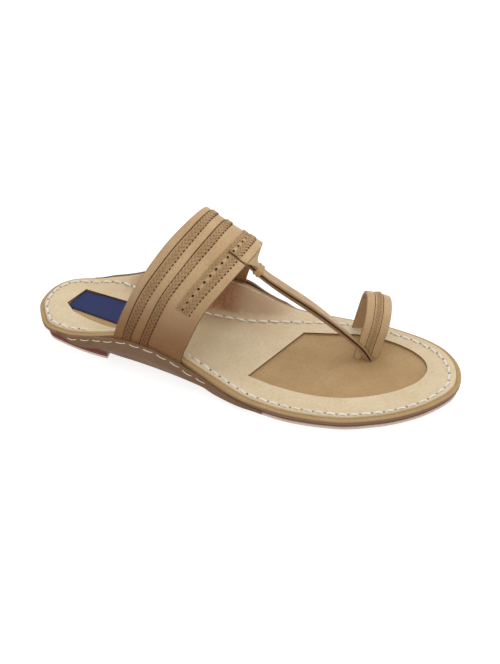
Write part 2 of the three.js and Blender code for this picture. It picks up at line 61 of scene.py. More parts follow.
# %% Sizes of the layers
SOLE_LENGTH = 268
HEEL_CENTRE = 30
GAP = 0.3                     # between neighbouring layers
OUTSOLE, TOP_PIECE, LIFT = 2.2, 2.0, 4.1
MIDSOLE, TOPSOLE, INSOLE = 2.4, 2.7, 1.2
STRAP, EAR = 2.0, 1.8
HEEL_BREAST = 53.5            # front face of the heel
OUTSOLE_START = 148           # back edge of the half outsole
SHANK = (52, 152)             # the sole drops from the heel to the tread between these
SPRING_START, TOE_SPRING = 185, 5.9
OUTSOLE_INSET = 1.6
LIFT_INSET, TOP_PIECE_EXTRA = (3.6, 0.7), 0.4   # at the back and at the breast of the heel
MIDSOLE_INSET = (3.4, 1.5)    # at the heel, where it is tucked in, and in front of the waist
BORDER = 2.9                  # bare edge of the topsole round the insole
RIM_LIP = 2.0                 # level part of the raised side at its rim
CUP_WIDTH = {"lateral": 15, "medial": 19}
SIGN = {"lateral": -1, "medial": 1}


def to_frame(points):
    """Shoemaker's millimetres to the frame's metres."""
    return (np.asarray(points, float) - (HEEL_CENTRE, 0, 0)) / 1000


# %% [markdown]
# The outline of the foot is a short table of half widths. A curve through a table must not swing
# past its rows, or the sole would get waves, so each row's slope is the harmonic mean of the slopes
# beside it. This keeps a smooth line that never overshoots.

# %% Curves through short tables
def table(columns, rows):
    """Rows of numbers as one array for each named column."""
    return dict(zip(columns.split(), np.array(rows, float).T))


def through(keys, values):
    """A smooth curve through the rows of a table that never overshoots them."""
    keys = np.asarray(keys, float)
    values = np.asarray(values, float)
    slope = np.diff(values) / np.diff(keys)
    before, after = slope[:-1], slope[1:]
    same_way = before * after > 0
    total = np.where(same_way, before + after, 1)
    inner = np.where(same_way, 2 * before * after / total, 0)
    tangent = np.r_[slope[0], inner, slope[-1]]

    def at(x):
        i = np.clip(np.searchsorted(keys, x, side="right") - 1, 0, len(keys) - 2)
        span = keys[i + 1] - keys[i]
        t = np.clip((x - keys[i]) / span, 0, 1)
        start = values[i] * (2 * t**3 - 3 * t**2 + 1) + tangent[i] * span * (t**3 - 2 * t**2 + t)
        end = values[i + 1] * (3 * t**2 - 2 * t**3) + tangent[i + 1] * span * (t**3 - t**2)
        return start + end

    return at


def smooth(t):
    """0 to 1 with a soft start and end."""
    c = np.clip(t, 0, 1)
    return c * c * (3 - 2 * c)


def mix(a, b, t):
    return a + (b - a) * t


def unit(v):
    return v / np.linalg.norm(v, axis=-1, keepdims=True)


# %% Outline of the sole
OUTLINE = table("x lateral medial", [
    (0, 0.9, -0.9), (3, 11.3, 14.4), (13.9, 25, 25.6), (39.7, 29.4, 32.4), (60, 31.6, 33.2),
    (79.4, 33.6, 33.2), (100, 36.6, 33.6), (121, 41, 35), (151, 50.3, 39.6), (176.7, 53.7, 42.8),
    (202.5, 51.6, 43.2), (228.3, 43.4, 38.7), (248, 32.2, 30.4), (262, 18.4, 16.4), (268, 3.9, -3.9),
])
RIM = table("x lateral medial", [
    (0, 0, 0), (26, 0, 0), (40, 3, 3), (50, 6.5, 6.3), (60, 10.2, 10.8), (72, 12.4, 16), (84, 12.4, 19),
    (96, 10.8, 20.4), (108, 8.2, 20.4), (122, 4.6, 18.4), (134, 2.2, 12.8), (146, 0.8, 6.4),
    (158, 0, 2), (170, 0, 0.2), (180, 0, 0), (268, 0, 0),
])


def angle_of(x):
    """The outline is followed by an angle: 0 at the heel's tip and pi at the toe's."""
    return np.arccos(np.clip(1 - 2 * np.asarray(x, float) / SOLE_LENGTH, -1, 1))


def station_of(u):
    return SOLE_LENGTH / 2 * (1 - np.cos(u))


half_width = {side: through(angle_of(OUTLINE["x"]), OUTLINE[side]) for side in SIGN}
rim_rise = {side: through(RIM["x"], RIM[side]) for side in SIGN}


def edge_point(u, side, inset):
    """Points of the outline moved inward by an inset."""
    def point(angle):
        return np.stack([station_of(angle), SIGN[side] * half_width[side](angle)], axis=-1)

    step = 0.004
    along = unit(point(np.minimum(u + step, np.pi)) - point(np.maximum(u - step, 0)))
    inward = np.stack([along[..., 1], -along[..., 0]], axis=-1) * SIGN[side]
    return point(u) + inward * np.expand_dims(inset, -1)


# %% Heights of the sole
HEEL_HEIGHT = TOP_PIECE + GAP + LIFT + GAP
TREAD_HEIGHT = OUTSOLE + GAP


def spring(x):
    return TOE_SPRING * np.maximum(0, (x - SPRING_START) / (SOLE_LENGTH - SPRING_START)) ** 2


def midsole_bottom(x):
    drop = smooth((x - SHANK[0]) / (SHANK[1] - SHANK[0]))
    return mix(HEEL_HEIGHT, TREAD_HEIGHT, drop) + spring(x)


def midsole_edge(x):
    return mix(*MIDSOLE_INSET, smooth((x - 34) / 32))


def lift_edge(x):
    return mix(*LIFT_INSET, smooth((x - 8) / 36))


def topsole_bottom(x):
    return midsole_bottom(x) + MIDSOLE + GAP


def topsole_flat(x):
    return topsole_bottom(x) + TOPSOLE


def rim_height(x, side):
    return topsole_flat(x) + rim_rise[side](x)


def cup_rise(x, y):
    """How far the topsole's upper face stands above its flat middle."""
    rise = 0
    for side, sign in SIGN.items():
        to_rim = half_width[side](angle_of(x)) - sign * y
        up = 1 - smooth((to_rim - RIM_LIP) / (CUP_WIDTH[side] - RIM_LIP))
        rise = rise + np.where(sign * y >= 0, rim_rise[side](x) * up, 0)
    return rise


def on_sole(x, y, lift=0.0):
    """Points on the topsole's upper face, moved out along its normal."""
    step = 0.5

    def height(x, y):
        return topsole_flat(x) + cup_rise(x, y)

    slope_x = (height(x + step, y) - height(x - step, y)) / (2 * step)
    slope_y = (height(x, y + step) - height(x, y - step)) / (2 * step)
    normal = unit(np.stack([-slope_x, -slope_y, np.ones_like(slope_x)], axis=-1))
    base = np.stack([x, y, height(x, y)], axis=-1)
    return base + normal * np.expand_dims(lift, -1)


print("height of the flat under the heel and the ball:", topsole_flat(20.0), topsole_flat(170.0))

# %% [markdown]
# ## Lines over the foot
#
# The straps follow smooth curves through a few points. The centripetal form of the Catmull-Rom
# curve is used, because it stays close to its points even where they are unevenly spaced.

# %% Curves through points in space
def spline(points, at):
    """Points of the curve; at counts the rows of the table and may lie between them."""
    p = np.asarray(points, float)
    p = np.vstack([2 * p[0] - p[1], p, 2 * p[-1] - p[-2]])
    knots = np.linalg.norm(np.diff(p, axis=0), axis=1) ** 0.5
    at = np.asarray(at, float)
    i = np.clip(at.astype(int), 0, len(p) - 4)
    w = (at - i)[..., None]
    d0, d1, d2 = (knots[i + k][..., None] for k in range(3))
    x0, x1, x2, x3 = (p[i + k] for k in range(4))
    m1 = d1 * ((x1 - x0) / d0 - (x2 - x0) / (d0 + d1) + (x2 - x1) / d1)
    m2 = d1 * ((x2 - x1) / d1 - (x3 - x1) / (d1 + d2) + (x3 - x2) / d2)
    return x1 + m1 * w + (3 * (x2 - x1) - 2 * m1 - m2) * w**2 + (2 * (x1 - x2) + m1 + m2) * w**3


def length_along(points):
    return np.r_[0, np.cumsum(np.linalg.norm(np.diff(points, axis=0), axis=1))]


def even(points, count):
    """The same line with evenly spaced points."""
    length = length_along(points)
    at = np.linspace(0, length[-1], count)
    return np.stack([np.interp(at, length, points[:, k]) for k in range(points.shape[1])], axis=1)


# %% The instep band's middle surface
BAND_BACK_BASE = {"lateral": 61, "medial": 79}
BAND_FRONT_BASE = {"lateral": 105, "medial": 122}
BAND_TUCK = 8                 # how far the band's ends go down below the rim
BACK_ARCH = np.array([
    (67, -30.5, 43), (77.5, -24.5, 66), (89, -11.5, 84), (98, 6, 91.5), (101, 24, 87.5),
    (96, 35.5, 71), (87, 36.5, 47),
])
FRONT_ARCH = np.array([
    (110, -36.8, 35), (117, -31.5, 52), (127, -17.5, 65), (134.5, 1, 71), (137, 19, 70),
    (132, 34, 60), (126, 37, 43),
])


def arch(s, count):
    """A line over the foot, from the outer side to the inner one: s is 0 at the back edge, 1 at the front."""
    def end(side):
        x = mix(BAND_BACK_BASE[side], BAND_FRONT_BASE[side], s)
        foot = edge_point(angle_of(x), side, -(GAP + STRAP / 2))
        rim = rim_height(x, side)
        return [(*foot, rim + up) for up in (-BAND_TUCK, -BAND_TUCK / 2, 0.5)]

    rows = np.array([*end("lateral"), *mix(BACK_ARCH, FRONT_ARCH, s), *end("medial")[::-1]])
    return even(spline(rows, np.linspace(0, len(rows) - 1, 500)), count)


BAND_ALONG, BAND_AROUND = 36, 200
band_grid = np.array([arch(s, BAND_AROUND + 1) for s in np.linspace(0, 1, BAND_ALONG + 1)])
band_normals = unit(np.cross(np.gradient(band_grid, axis=0), np.gradient(band_grid, axis=1)))


def on_grid(grid, s, t):
    """Value of a grid between its points; s runs over its rows and t over its columns, both 0 to 1."""
    a = np.clip(s, 0, 1) * (grid.shape[0] - 1)
    b = np.clip(t, 0, 1) * (grid.shape[1] - 1)
    i = np.minimum(a.astype(int), grid.shape[0] - 2)
    j = np.minimum(b.astype(int), grid.shape[1] - 2)
    fa = (a - i)[..., None]
    fb = (b - j)[..., None]
    return mix(mix(grid[i, j], grid[i + 1, j], fa), mix(grid[i, j + 1], grid[i + 1, j + 1], fa), fb)


def on_band(s, t, lift=0.0):
    """Points on the band's middle surface, moved out along its normal."""
    s, t = np.broadcast_arrays(np.asarray(s, float), np.asarray(t, float))
    return on_grid(band_grid, s, t) + unit(on_grid(band_normals, s, t)) * np.expand_dims(lift, -1)


print("length over the instep at the back and front edges:",
      [round(length_along(band_grid[k])[-1]) for k in (0, -1)])

# %% [markdown]
# ## From rings of points to a piece
#
# Nearly every part of a sandal is a strip with a section: a layer of the sole, a strap, a thread.
# So each one is a row of rings, and one function skins them with quads. Tips where a ring shrinks to
# a line close by themselves once double points are merged. Every piece carries one extra number a
# point, how much it lies on a cut edge, which the leather materials use to darken cut edges; inside
# the thong's fold the same number also paints shade.

# %% Skinning rings and making pieces
def skin(rings, loop=True, caps=(True, True), cut_edge_and_shade=None):
    """Points, faces and cut-edge numbers of a skin over rings shaped (rings, points, 3)."""
    count, size = rings.shape[:2]
    k = np.arange(size if loop else size - 1)
    faces = []
    for i in range(count - 1):
        a = i * size + k
        b = i * size + (k + 1) % size
        faces += np.stack([a, b, b + size, a + size], axis=1).tolist()
    if caps[0]:
        faces.append(list(range(size))[::-1])
    if caps[1]:
        faces.append(list(range((count - 1) * size, count * size)))
    marks = np.zeros((count, size)) if cut_edge_and_shade is None else np.broadcast_to(cut_edge_and_shade, (count, size))
    return rings.reshape(-1, 3), faces, marks.ravel()


def make_piece(name, parts, material, replaces=(), crease=38):
    """One piece of the sandal from skins, riding on the frame."""
    faces, start = [], 0
    for points, part_faces, _ in parts:
        faces += [[start + i for i in face] for face in part_faces]
        start += len(points)
    mesh = bpy.data.meshes.new(name)
    mesh.from_pydata(to_frame(np.vstack([part[0] for part in parts])).tolist(), [], faces)
    cut = mesh.attributes.new("cut_edge_and_shade", "FLOAT", "POINT")
    cut.data.foreach_set("value", np.concatenate([part[2] for part in parts]).astype(np.float32))
    work = bmesh.new()
    work.from_mesh(mesh)
    bmesh.ops.remove_doubles(work, verts=work.verts, dist=2e-6)
    bmesh.ops.recalc_face_normals(work, faces=work.faces)
    work.to_mesh(mesh)
    work.free()
    mesh.shade_smooth()
    mesh.set_sharp_from_angle(angle=math.radians(crease))
    piece = bpy.data.objects.new(name, mesh)
    bpy.context.scene.collection.objects.link(piece)
    mesh.materials.append(material)
    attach(piece, "root")
    if replaces:
        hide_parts(*replaces)
    print(f"{name}: {len(mesh.polygons)} faces")
    return piece


# %% [markdown]
# ## Leather and thread
#
# Vegetable-tanned hide is a natural felt of fibres, so its colour clouds over a few centimetres and
# its surface has a fine pebbled grain with darker valleys. It is semi-matt with a soft broad sheen.
# Where it is cut, the fibres are rubbed smooth and take up more dye, so cut edges are darker.
#
# The colours are written as the sRGB values that a painter would mix, and one function turns them
# into the linear values that the shader needs. Every pattern is scaled from a real size: a texture
# of scale n has about n cells in a metre, so a cell of size s millimetres needs a scale of 1000 / s.

# %% Small shader helpers
def linear(hex_colour):
    channels = [int(hex_colour[k:k + 2], 16) / 255 for k in (0, 2, 4)]
    return (*[c / 12.92 if c <= 0.04045 else ((c + 0.055) / 1.055) ** 2.4 for c in channels], 1)


def per_metre(size_mm):
    return 1000 / size_mm


def add(tree, kind, sockets=None, **settings):
    """Adds a shader node with its settings; a socket takes a value or a link."""
    node = tree.nodes.new("ShaderNode" + kind)
    for name, value in settings.items():
        setattr(node, name, value)
    for name, value in (sockets or {}).items():
        if isinstance(value, bpy.types.NodeSocket):
            tree.links.new(value, node.inputs[name])
        else:
            node.inputs[name].default_value = value
    return node


def new_material(name):
    material = bpy.data.materials.new(name)
    material.use_nodes = True
    material.node_tree.nodes.clear()
    return material, material.node_tree


def finish_material(tree, colour, rough, bump, **sockets):
    inputs = {"Base Color": colour, "Roughness": rough, "Normal": bump, **sockets}
    surface = add(tree, "BsdfPrincipled", inputs)
    add(tree, "OutputMaterial", {"Surface": surface.outputs[0]})


def blend_colours(tree, amount, first, second):
    return add(tree, "Mix", {0: amount, 6: first, 7: second}, data_type="RGBA").outputs[2]


# %% Tanned leather
LEATHER_IOR = 1.48            # grease and collagen
LEATHER_SHEEN = 0.22          # oiled splits mirror less than this index would give


def tanned_leather(name, hide, cloud, valley, edge, grain=1.1, cloud_size=16, cloudy=0.8, rough=0.5,
                   relief=0.05, stretch=(1, 1, 1), low=None, low_shade_share=0.92, dye_and_painted_shade=None):
    """Hide with clouded colour, a pebbled grain of that many millimetres and darker cut edges.
    low is a painted shade that darkens a strap towards the sole, where less light falls on it; dye is
    painted shade under the band, and on the topsole also a real dyed lower edge."""
    material, tree = new_material(name)
    place = add(tree, "TexCoord").outputs["Object"]
    laid = add(tree, "Mapping", {"Vector": place, "Scale": stretch}).outputs[0]
    clouds = add(tree, "TexNoise", {"Vector": place, "Scale": per_metre(cloud_size), "Detail": 4.0,
                                    "Roughness": 0.6}).outputs[0]
    spread = add(tree, "MapRange", {"Value": clouds, "From Min": 0.36, "From Max": 0.66,
                                    "To Max": cloudy}).outputs[0]
    colour = blend_colours(tree, spread, linear(hide), linear(cloud))
    # painted shade: the colour darkens towards the sole, where less light falls on the strap
    if low is not None:
        height_up = add(tree, "SeparateXYZ", {0: place}).outputs[2]
        low_shade = add(tree, "MapRange", {"Value": height_up, "From Min": 0.074, "From Max": 0.024,
                                      "To Max": low_shade_share}, interpolation_type="SMOOTHSTEP").outputs[0]
        colour = blend_colours(tree, low_shade, colour, linear(low))
    # the dye colour paints shade under the band, and on the topsole also its dyed lower edge
    if dye_and_painted_shade is not None:
        dye_and_shade_share = add(tree, "Attribute", attribute_name="dye_and_painted_shade").outputs["Fac"]
        colour = blend_colours(tree, dye_and_shade_share, colour, linear(dye_and_painted_shade))
    pebbles = add(tree, "TexVoronoi", {"Vector": laid, "Scale": per_metre(grain)}).outputs["Distance"]
    fibres = add(tree, "TexNoise", {"Vector": laid, "Scale": per_metre(grain * 0.6), "Detail": 5.0,
                                    "Roughness": 0.65}).outputs[0]
    height = add(tree, "Math", {0: pebbles, 1: fibres}, operation="SUBTRACT").outputs[0]
    depth = add(tree, "MapRange", {"Value": height, "From Min": -0.25, "From Max": 0.35,
                                   "To Max": 0.28}).outputs[0]
    colour = blend_colours(tree, depth, colour, linear(valley))
    cut = add(tree, "Attribute", attribute_name="cut_edge_and_shade").outputs["Fac"]
    colour = blend_colours(tree, cut, colour, linear(edge))
    gloss = add(tree, "MapRange", {"Value": fibres, "From Min": 0.3, "From Max": 0.7,
                                   "To Min": rough - 0.07, "To Max": rough + 0.1}).outputs[0]
    bump = add(tree, "Bump", {"Height": height, "Strength": 0.6, "Distance": -relief / 1000}).outputs[0]
    finish_material(tree, colour, gloss, bump, IOR=LEATHER_IOR, **{"Specular IOR Level": LEATHER_SHEEN})
    return material


# %% [markdown]
# The hides of this sandal: an oiled tan split for the straps, the same hide on the topsole and the
# ears, a pale buff-coloured lining hide for the insole, red-brown and pinkish sole leather below.

# %% The hides
# low is painted shade: the strap darkens towards the sole
strap_hide = tanned_leather("tan strap leather", "C3A57D", "B6966F", "90704A", "6E4F37", rough=0.45,
                            low="74471F")
# dye colour: painted shade under the band, and the real dyed lower half of the edge
topsole_hide = tanned_leather("brown topsole leather", "B29368", "A6875D", "876944", "94744F", rough=0.47,
                              dye_and_painted_shade="80604A")
ear_hide = tanned_leather("umber ear leather", "7E5F45", "73553C", "5B402A", "73583F", rough=0.55)
# dye colour: painted shade under the band
insole_hide = tanned_leather("buff insole leather", "D5C4A5", "CAB591", "B59A74", "A88862",
                             grain=1.4, cloud_size=24, rough=0.5, relief=0.03, dye_and_painted_shade="8A5838")
midsole_hide = tanned_leather("red-brown midsole leather", "7C5740", "6E4A36", "57392A", "66452F", rough=0.6)
lift_hide = tanned_leather("dark heel leather", "7A4034", "69342A", "4E251E", "5C3026", rough=0.5)
outsole_hide = tanned_leather("pinkish sole leather", "DCC4BA", "CEB4AA", "B59A90", "D2BAB0",
                              grain=1.6, rough=0.7)

# %% [markdown]
# ## The sole from the floor up
#
# Each layer of the sole is a sheet of leather with eased edges. Its section is one loop: across the
# bottom, round the inner edge, across the top and round the outer edge. The loop is followed along
# the foot with stations that crowd at heel and toe, where the outline turns fastest.

# %% Stations and eased corners
EDGE_ROUND = 0.6


def stations(start, stop, count):
    return np.linspace(angle_of(start), angle_of(stop), count)


def eased_corner(radius, steps=5):
    """Pairs of inset and rise from the flat of a face round to its edge."""
    turn = np.linspace(0, np.pi / 2, steps)
    return list(zip(radius * (1 - np.sin(turn)), radius * (1 - np.cos(turn))))


def flat_layer(start, stop, count, inset, bottom, top, plies=1):
    """A layer of the sole between two heights; plies are the sheets glued to make it."""
    u = stations(start, stop, count)
    turn = eased_corner(EDGE_ROUND)
    seams = [k / plies for k in range(1, plies)]
    side = [(inward, 0, up) for inward, up in turn]
    for level in seams:
        side += [(0, level, -0.25), (0.3, level, 0), (0, level, 0.25)]
    side += [(inward, 1, -up) for inward, up in turn[::-1]]
    loop = [("medial", *corner) for corner in side] + [("lateral", *corner) for corner in side[::-1]]
    lines = []
    for name, inward, level, up in loop:
        p = edge_point(u, name, inset(station_of(u)) + inward)
        lines.append(np.column_stack([p, mix(bottom(p[:, 0]), top(p[:, 0]), level) + up]))
    return skin(np.stack(lines, axis=1), caps=(start > 0, stop < SOLE_LENGTH))


def level_at(height):
    return lambda x: np.full_like(x, height)


# %% Heel: a tread piece under two glued lifts
LIFT_BOTTOM = TOP_PIECE + GAP
def tread_edge(x):
    """The top piece is cut a little smaller than the lift above it."""
    return lift_edge(x) + TOP_PIECE_EXTRA


make_piece("heel_tread", [flat_layer(0, HEEL_BREAST, 60, tread_edge, level_at(0), level_at(TOP_PIECE))],
           outsole_hide, ["heel_top_piece"])
make_piece("heel_stack", [flat_layer(0, HEEL_BREAST, 60, lift_edge, level_at(TOP_PIECE + 0.02),
                                     level_at(LIFT_BOTTOM + LIFT + GAP - 0.02), plies=2)],
           lift_hide, ["heel_lift"])

# %% Half outsole and full midsole
make_piece("half_outsole", [flat_layer(OUTSOLE_START, SOLE_LENGTH, 110, level_at(OUTSOLE_INSET), spring,
                                       lambda x: spring(x) + OUTSOLE)],
           outsole_hide, ["outsole"])
make_piece("full_midsole", [flat_layer(0, SOLE_LENGTH, 170, midsole_edge,
                                       lambda x: midsole_bottom(x) - GAP + 0.02,
                                       lambda x: midsole_bottom(x) + MIDSOLE)],
           midsole_hide, ["midsole"])

# %% [markdown]
# The topsole is the heart of the shoe. Its sides are wetted and pressed up into a cup at the waist,
# so its upper face is followed by many lines close to the edge and one flat stretch in the middle.
# The insole lies on it and uses the same lines, starting a border's width in from the edge.

# %% Lines across the sole
TIP_ROOM = 3.2                # half width at which the lines across start to spread
CROSS_STEPS = np.array([0, 0.8, 1.6, 2.4, 3.3, 4.2, 5.2, 6.2, 7.3, 8.4, 9.6, 10.9, 12.3, 13.9, 15.5])


def across(u):
    """Insets from the edge at which the upper face is followed, one row for each station."""
    room = (half_width["lateral"](u) + half_width["medial"](u)) / 2
    scale = np.clip((room - TIP_ROOM) / 22, 0, 1)
    return BORDER + scale[:, None] * CROSS_STEPS


def lines_on_sole(u, corners):
    """Lines of a sheet lying on the sole; corners are the insets and lifts round its edge."""
    lines = []
    for side in ("lateral", "medial"):
        rows = [(np.full_like(u, inward), lift) for inward, lift in corners]
        rows += [(inset, corners[-1][1]) for inset in across(u).T]
        points = []
        for inset, lift in rows:
            p = edge_point(u, side, inset)
            points.append(on_sole(p[:, 0], p[:, 1], np.full_like(u, lift)))
        lines.append(points)
    return lines[0] + lines[1][::-1]


# %% Topsole
TOPSOLE_ROUND = 1.0
DYED_HALF = 2.1               # the lower half of the topsole's edge is dyed like the midsole
sole_u = stations(0, SOLE_LENGTH, 190)
rim_corner = [(inward, -up) for inward, up in eased_corner(TOPSOLE_ROUND)][::-1]
top_lines = lines_on_sole(sole_u, rim_corner + [(1.6, 0), (2.3, 0)])


def topsole_side(side):
    """Lower corner of the topsole's edge, and two lines above it where its dyed half ends."""
    lines = []
    for inward, up in [*eased_corner(EDGE_ROUND), (0, DYED_HALF), (0, DYED_HALF + 0.2)]:
        p = edge_point(sole_u, side, inward)
        lines.append(np.column_stack([p, topsole_bottom(p[:, 0]) - GAP + 0.02 + up]))
    return lines


topsole_loop = topsole_side("medial") + top_lines[::-1] + topsole_side("lateral")[::-1]
topsole = make_piece("cupped_topsole", [skin(np.stack(topsole_loop, axis=1), caps=(False, False))],
           topsole_hide, ["topsole"])

# %% [markdown]
# ## The insole and its two windows
#
# The buff insole is one sheet with two windows, which show the brown topsole below. A boolean could
# cut them, but it leaves long thin faces that shade badly. Here the outlines of the sheet and of its
# windows are given to a triangulation as fixed edges, with loose points between them, so the sheet
# has even triangles and exact outlines. It is then laid on the sole, thickened and closed.

# %% Outlines of the windows
FORE_WINDOW = {
    "back": [(144, -29), (165, 20), (197, 28)],
    "round": [(213, 27.5), (225, 24.5), (236, 19), (243.5, 12), (246.5, 4), (244, -6), (235, -16),
              (221, -25), (202, -32), (180, -34.5), (161, -33)],
}
HEEL_WINDOW = {
    "back": [(17, -1), (23.5, 15), (60, 10.5)],
    "round": [(74, 0), (65, -12), (54, -15.5), (38, -13), (24, -8)],
}


def window_outline(window, spacing=1.2):
    bend = [window["back"][-1], *window["round"]]
    curve = spline(np.array(bend, float), np.linspace(0, len(bend) - 1, 400))
    corners = [np.array(p, float) for p in window["back"]]
    closing = np.array([curve[-1], corners[0]])
    runs = [closing, np.array(corners[:2]), np.array(corners[1:]), curve]
    runs = [even(run, max(2, int(length_along(run)[-1] / spacing) + 1))[:-1] for run in runs]
    return np.vstack(runs)


def inside(points, outline):
    """Which points lie inside a closed outline, by counting the edges to their right."""
    x, y = points[:, :1], points[:, 1:]
    ax, ay = outline.T
    bx, by = np.roll(outline, -1, axis=0).T
    spans = (ay > y) != (by > y)
    at = ax + (y - ay) * (bx - ax) / np.where(by == ay, 1, by - ay)
    return (spans & (x < at)).sum(axis=1) % 2 == 1


def nearest(points, outline):
    return np.linalg.norm(points[:, None] - outline[None], axis=2).min(axis=1)


# %% Triangles of the sheet
INSOLE_LIFT = GAP + INSOLE    # upper face of the insole above the topsole
RIM_IN = 0.5                  # the edge is eased over this width
windows = [window_outline(FORE_WINDOW), window_outline(HEEL_WINDOW)]
inset_loop = {side: edge_point(sole_u, side, np.full_like(sole_u, BORDER + RIM_IN)) for side in SIGN}
rim_loop = np.vstack([inset_loop["lateral"], inset_loop["medial"][-2:0:-1]])
lattice = np.vstack([edge_point(sole_u[::2], side, inset) for side in SIGN
                     for inset in (across(sole_u[::2]) + RIM_IN).T[1:]])
middle_rows = [np.column_stack([np.arange(24, 246, 4.0), np.full(56, y)]) for y in np.arange(-24, 25, 4.0)]
lattice = np.vstack([lattice, *middle_rows])
free = inside(lattice, rim_loop) & (nearest(lattice, rim_loop) > 0.6)
for outline in windows:
    free &= ~inside(lattice, outline) & (nearest(lattice, outline) > 0.7)
flat_points = np.vstack([rim_loop, *windows, lattice[free]])
loops, start = [], 0
for outline in (rim_loop, *windows):
    loops.append(list(range(start, start + len(outline))))
    start += len(outline)
fixed = [(loop[k], loop[(k + 1) % len(loop)]) for loop in loops for k in range(len(loop))]
cut = delaunay_2d_cdt([Vector(p) for p in flat_points.tolist()], fixed, [], 1, 1e-4)
sheet_xy = np.array([tuple(p) for p in cut[0]])
now_at = {old: new for new, olds in enumerate(cut[3]) for old in olds}
loops = [[now_at[k] for k in loop] for loop in loops]
triangles = np.array(cut[2])
centres = sheet_xy[triangles].mean(axis=1)
kept = inside(centres, rim_loop) & ~inside(centres, windows[0]) & ~inside(centres, windows[1])
triangles = triangles[kept]
print("triangles of the insole's face:", len(triangles))


# %% Insole: the face, its underside, the eased rim and the windows' walls
def laid(points, lift):
    return on_sole(points[:, 0], points[:, 1], np.full(len(points), lift))


def insole_part():
    count = len(sheet_xy)
    points = [laid(sheet_xy, INSOLE_LIFT), laid(sheet_xy, 0.02)]
    faces = triangles.tolist() + (triangles[:, ::-1] + count).tolist()
    marks = [np.zeros(2 * count)]
    start = 2 * count
    rim_rows = [("rim", 0.25, 1.43), ("rim", 0.42, 1.28), ("rim", 0.5, 1.05), ("rim", 0.5, 0.02)]
    wall_rows = [("wall", 0.06, 1.44), ("wall", 0.1, 1.35), ("wall", 0.1, 0.02)]
    for number, loop in enumerate(loops):
        rows = [loop]
        for kind, moved, lift in (rim_rows if number == 0 else wall_rows):
            if kind == "rim":
                sides = {side: edge_point(sole_u, side, np.full_like(sole_u, BORDER + RIM_IN - moved))
                         for side in SIGN}
                row = np.vstack([sides["lateral"], sides["medial"][-2:0:-1]])
            else:
                row = sheet_xy[loop]
                row = row + unit(windows[number - 1].mean(axis=0) - row) * moved
            points.append(laid(row, lift))
            marks.append(np.full(len(row), 0.0 if kind == "rim" else 1.0))
            rows.append(list(range(start, start + len(row))))
            start += len(row)
        rows.append([k + count for k in loop])
        size = len(loop)
        for upper, lower in zip(rows[:-1], rows[1:]):
            faces += [[upper[k], upper[(k + 1) % size], lower[(k + 1) % size], lower[k]] for k in range(size)]
    return np.vstack(points), faces, np.concatenate(marks)


insole = make_piece("insole_sheet", [insole_part()], insole_hide, ["insole"])

# %% Painted shade under the band on the walls of the cup, and the topsole's dyed edge
def paint_wall_shade_and_edge_dye(piece, on_wall, on_floor, first_rise):
    """Painted shade, full on the raised wall under the band, less further forward, faint on the floor
    beside it; on the topsole the lower half of the edge is also dyed.
    """
    where = np.array([v.co for v in piece.data.vertices]) * 1000 + (HEEL_CENTRE, 0, 0)
    x, y, z = where.T
    wall = smooth((cup_rise(x, y) - first_rise) / 3) * (y > 0)
    floor = smooth((y - 2) / 16) * (y > 0)
    near_band = smooth((x - 40) / 30) * mix(1, 0.6, smooth((x - 114) / 14)) * (1 - smooth((x - 136) / 34))
    value = np.maximum(on_wall * wall, on_floor * floor) * near_band
    if piece is topsole:
        value = np.maximum(value, z < topsole_bottom(x) + DYED_HALF - GAP + 0.1)
    dye_and_painted_shade = piece.data.attributes.new("dye_and_painted_shade", "FLOAT", "POINT")
    dye_and_painted_shade.data.foreach_set("value", np.clip(value, 0, 1).astype(np.float32))


paint_wall_shade_and_edge_dye(insole, 0.97, 0.4, 0.8)
paint_wall_shade_and_edge_dye(topsole, 1.3, 0.0, 0.0)

# %% [markdown]
# The windows' walls are only a millimetre high. Their shade is painted: each outline gets a thin
# dark ribbon just proud of its wall.

# %% Painted shade on the windows' walls
window_edge_shade = tanned_leather("painted shade on window walls", "5E412C", "523724", "3E2919", "4A3220",
                            grain=0.8, rough=0.6)


def tube(path, radius, sides=6, flat=1.0, normals=None, caps=(True, True), taper=None):
    """A round or flattened cord along a path; normals say which way its flat side looks."""
    out = np.broadcast_to((0.0, 0.0, 1.0), path.shape) if normals is None else normals
    along = unit(np.gradient(path, axis=0))
    across_path = unit(np.cross(along, out))
    out = np.cross(across_path, along)
    turn = np.linspace(0, 2 * np.pi, sides, endpoint=False)
    size = (radius if taper is None else radius * taper)
    size = np.broadcast_to(size, len(path))[:, None, None]
    ring = np.cos(turn)[:, None] * across_path[:, None] + flat * np.sin(turn)[:, None] * out[:, None]
    return skin(path[:, None] + size * ring, caps=caps)


def window_rim(window, inward):
    """Ribbon of painted shade along a window's wall, from the topsole to just under the insole's face."""
    outline = window_outline(window, 0.8)
    closed = np.vstack([outline, outline[:1]])
    closed = closed + unit(closed.mean(axis=0) - closed) * inward
    rows = [on_sole(closed[:, 0], closed[:, 1], np.full(len(closed), lift))
            for lift in (0.75, INSOLE_LIFT - 0.12)]
    return skin(np.stack(rows, axis=1), loop=False, caps=(False, False))


rim_parts = [window_rim(window, 0.16) for window in (FORE_WINDOW, HEEL_WINDOW)]
make_piece("window_shade_ribbons", rim_parts, window_edge_shade)

# %% [markdown]
# ## Lacing round the insole
#
# The insole is laced to the sole with a thin white rawhide cord. It dives into a punched hole and
# comes up again, so what shows is a row of short arched dashes with a dark hole between each two.
# The row runs a few millimetres in from the insole's edge, and along the foot of the cupped sides.

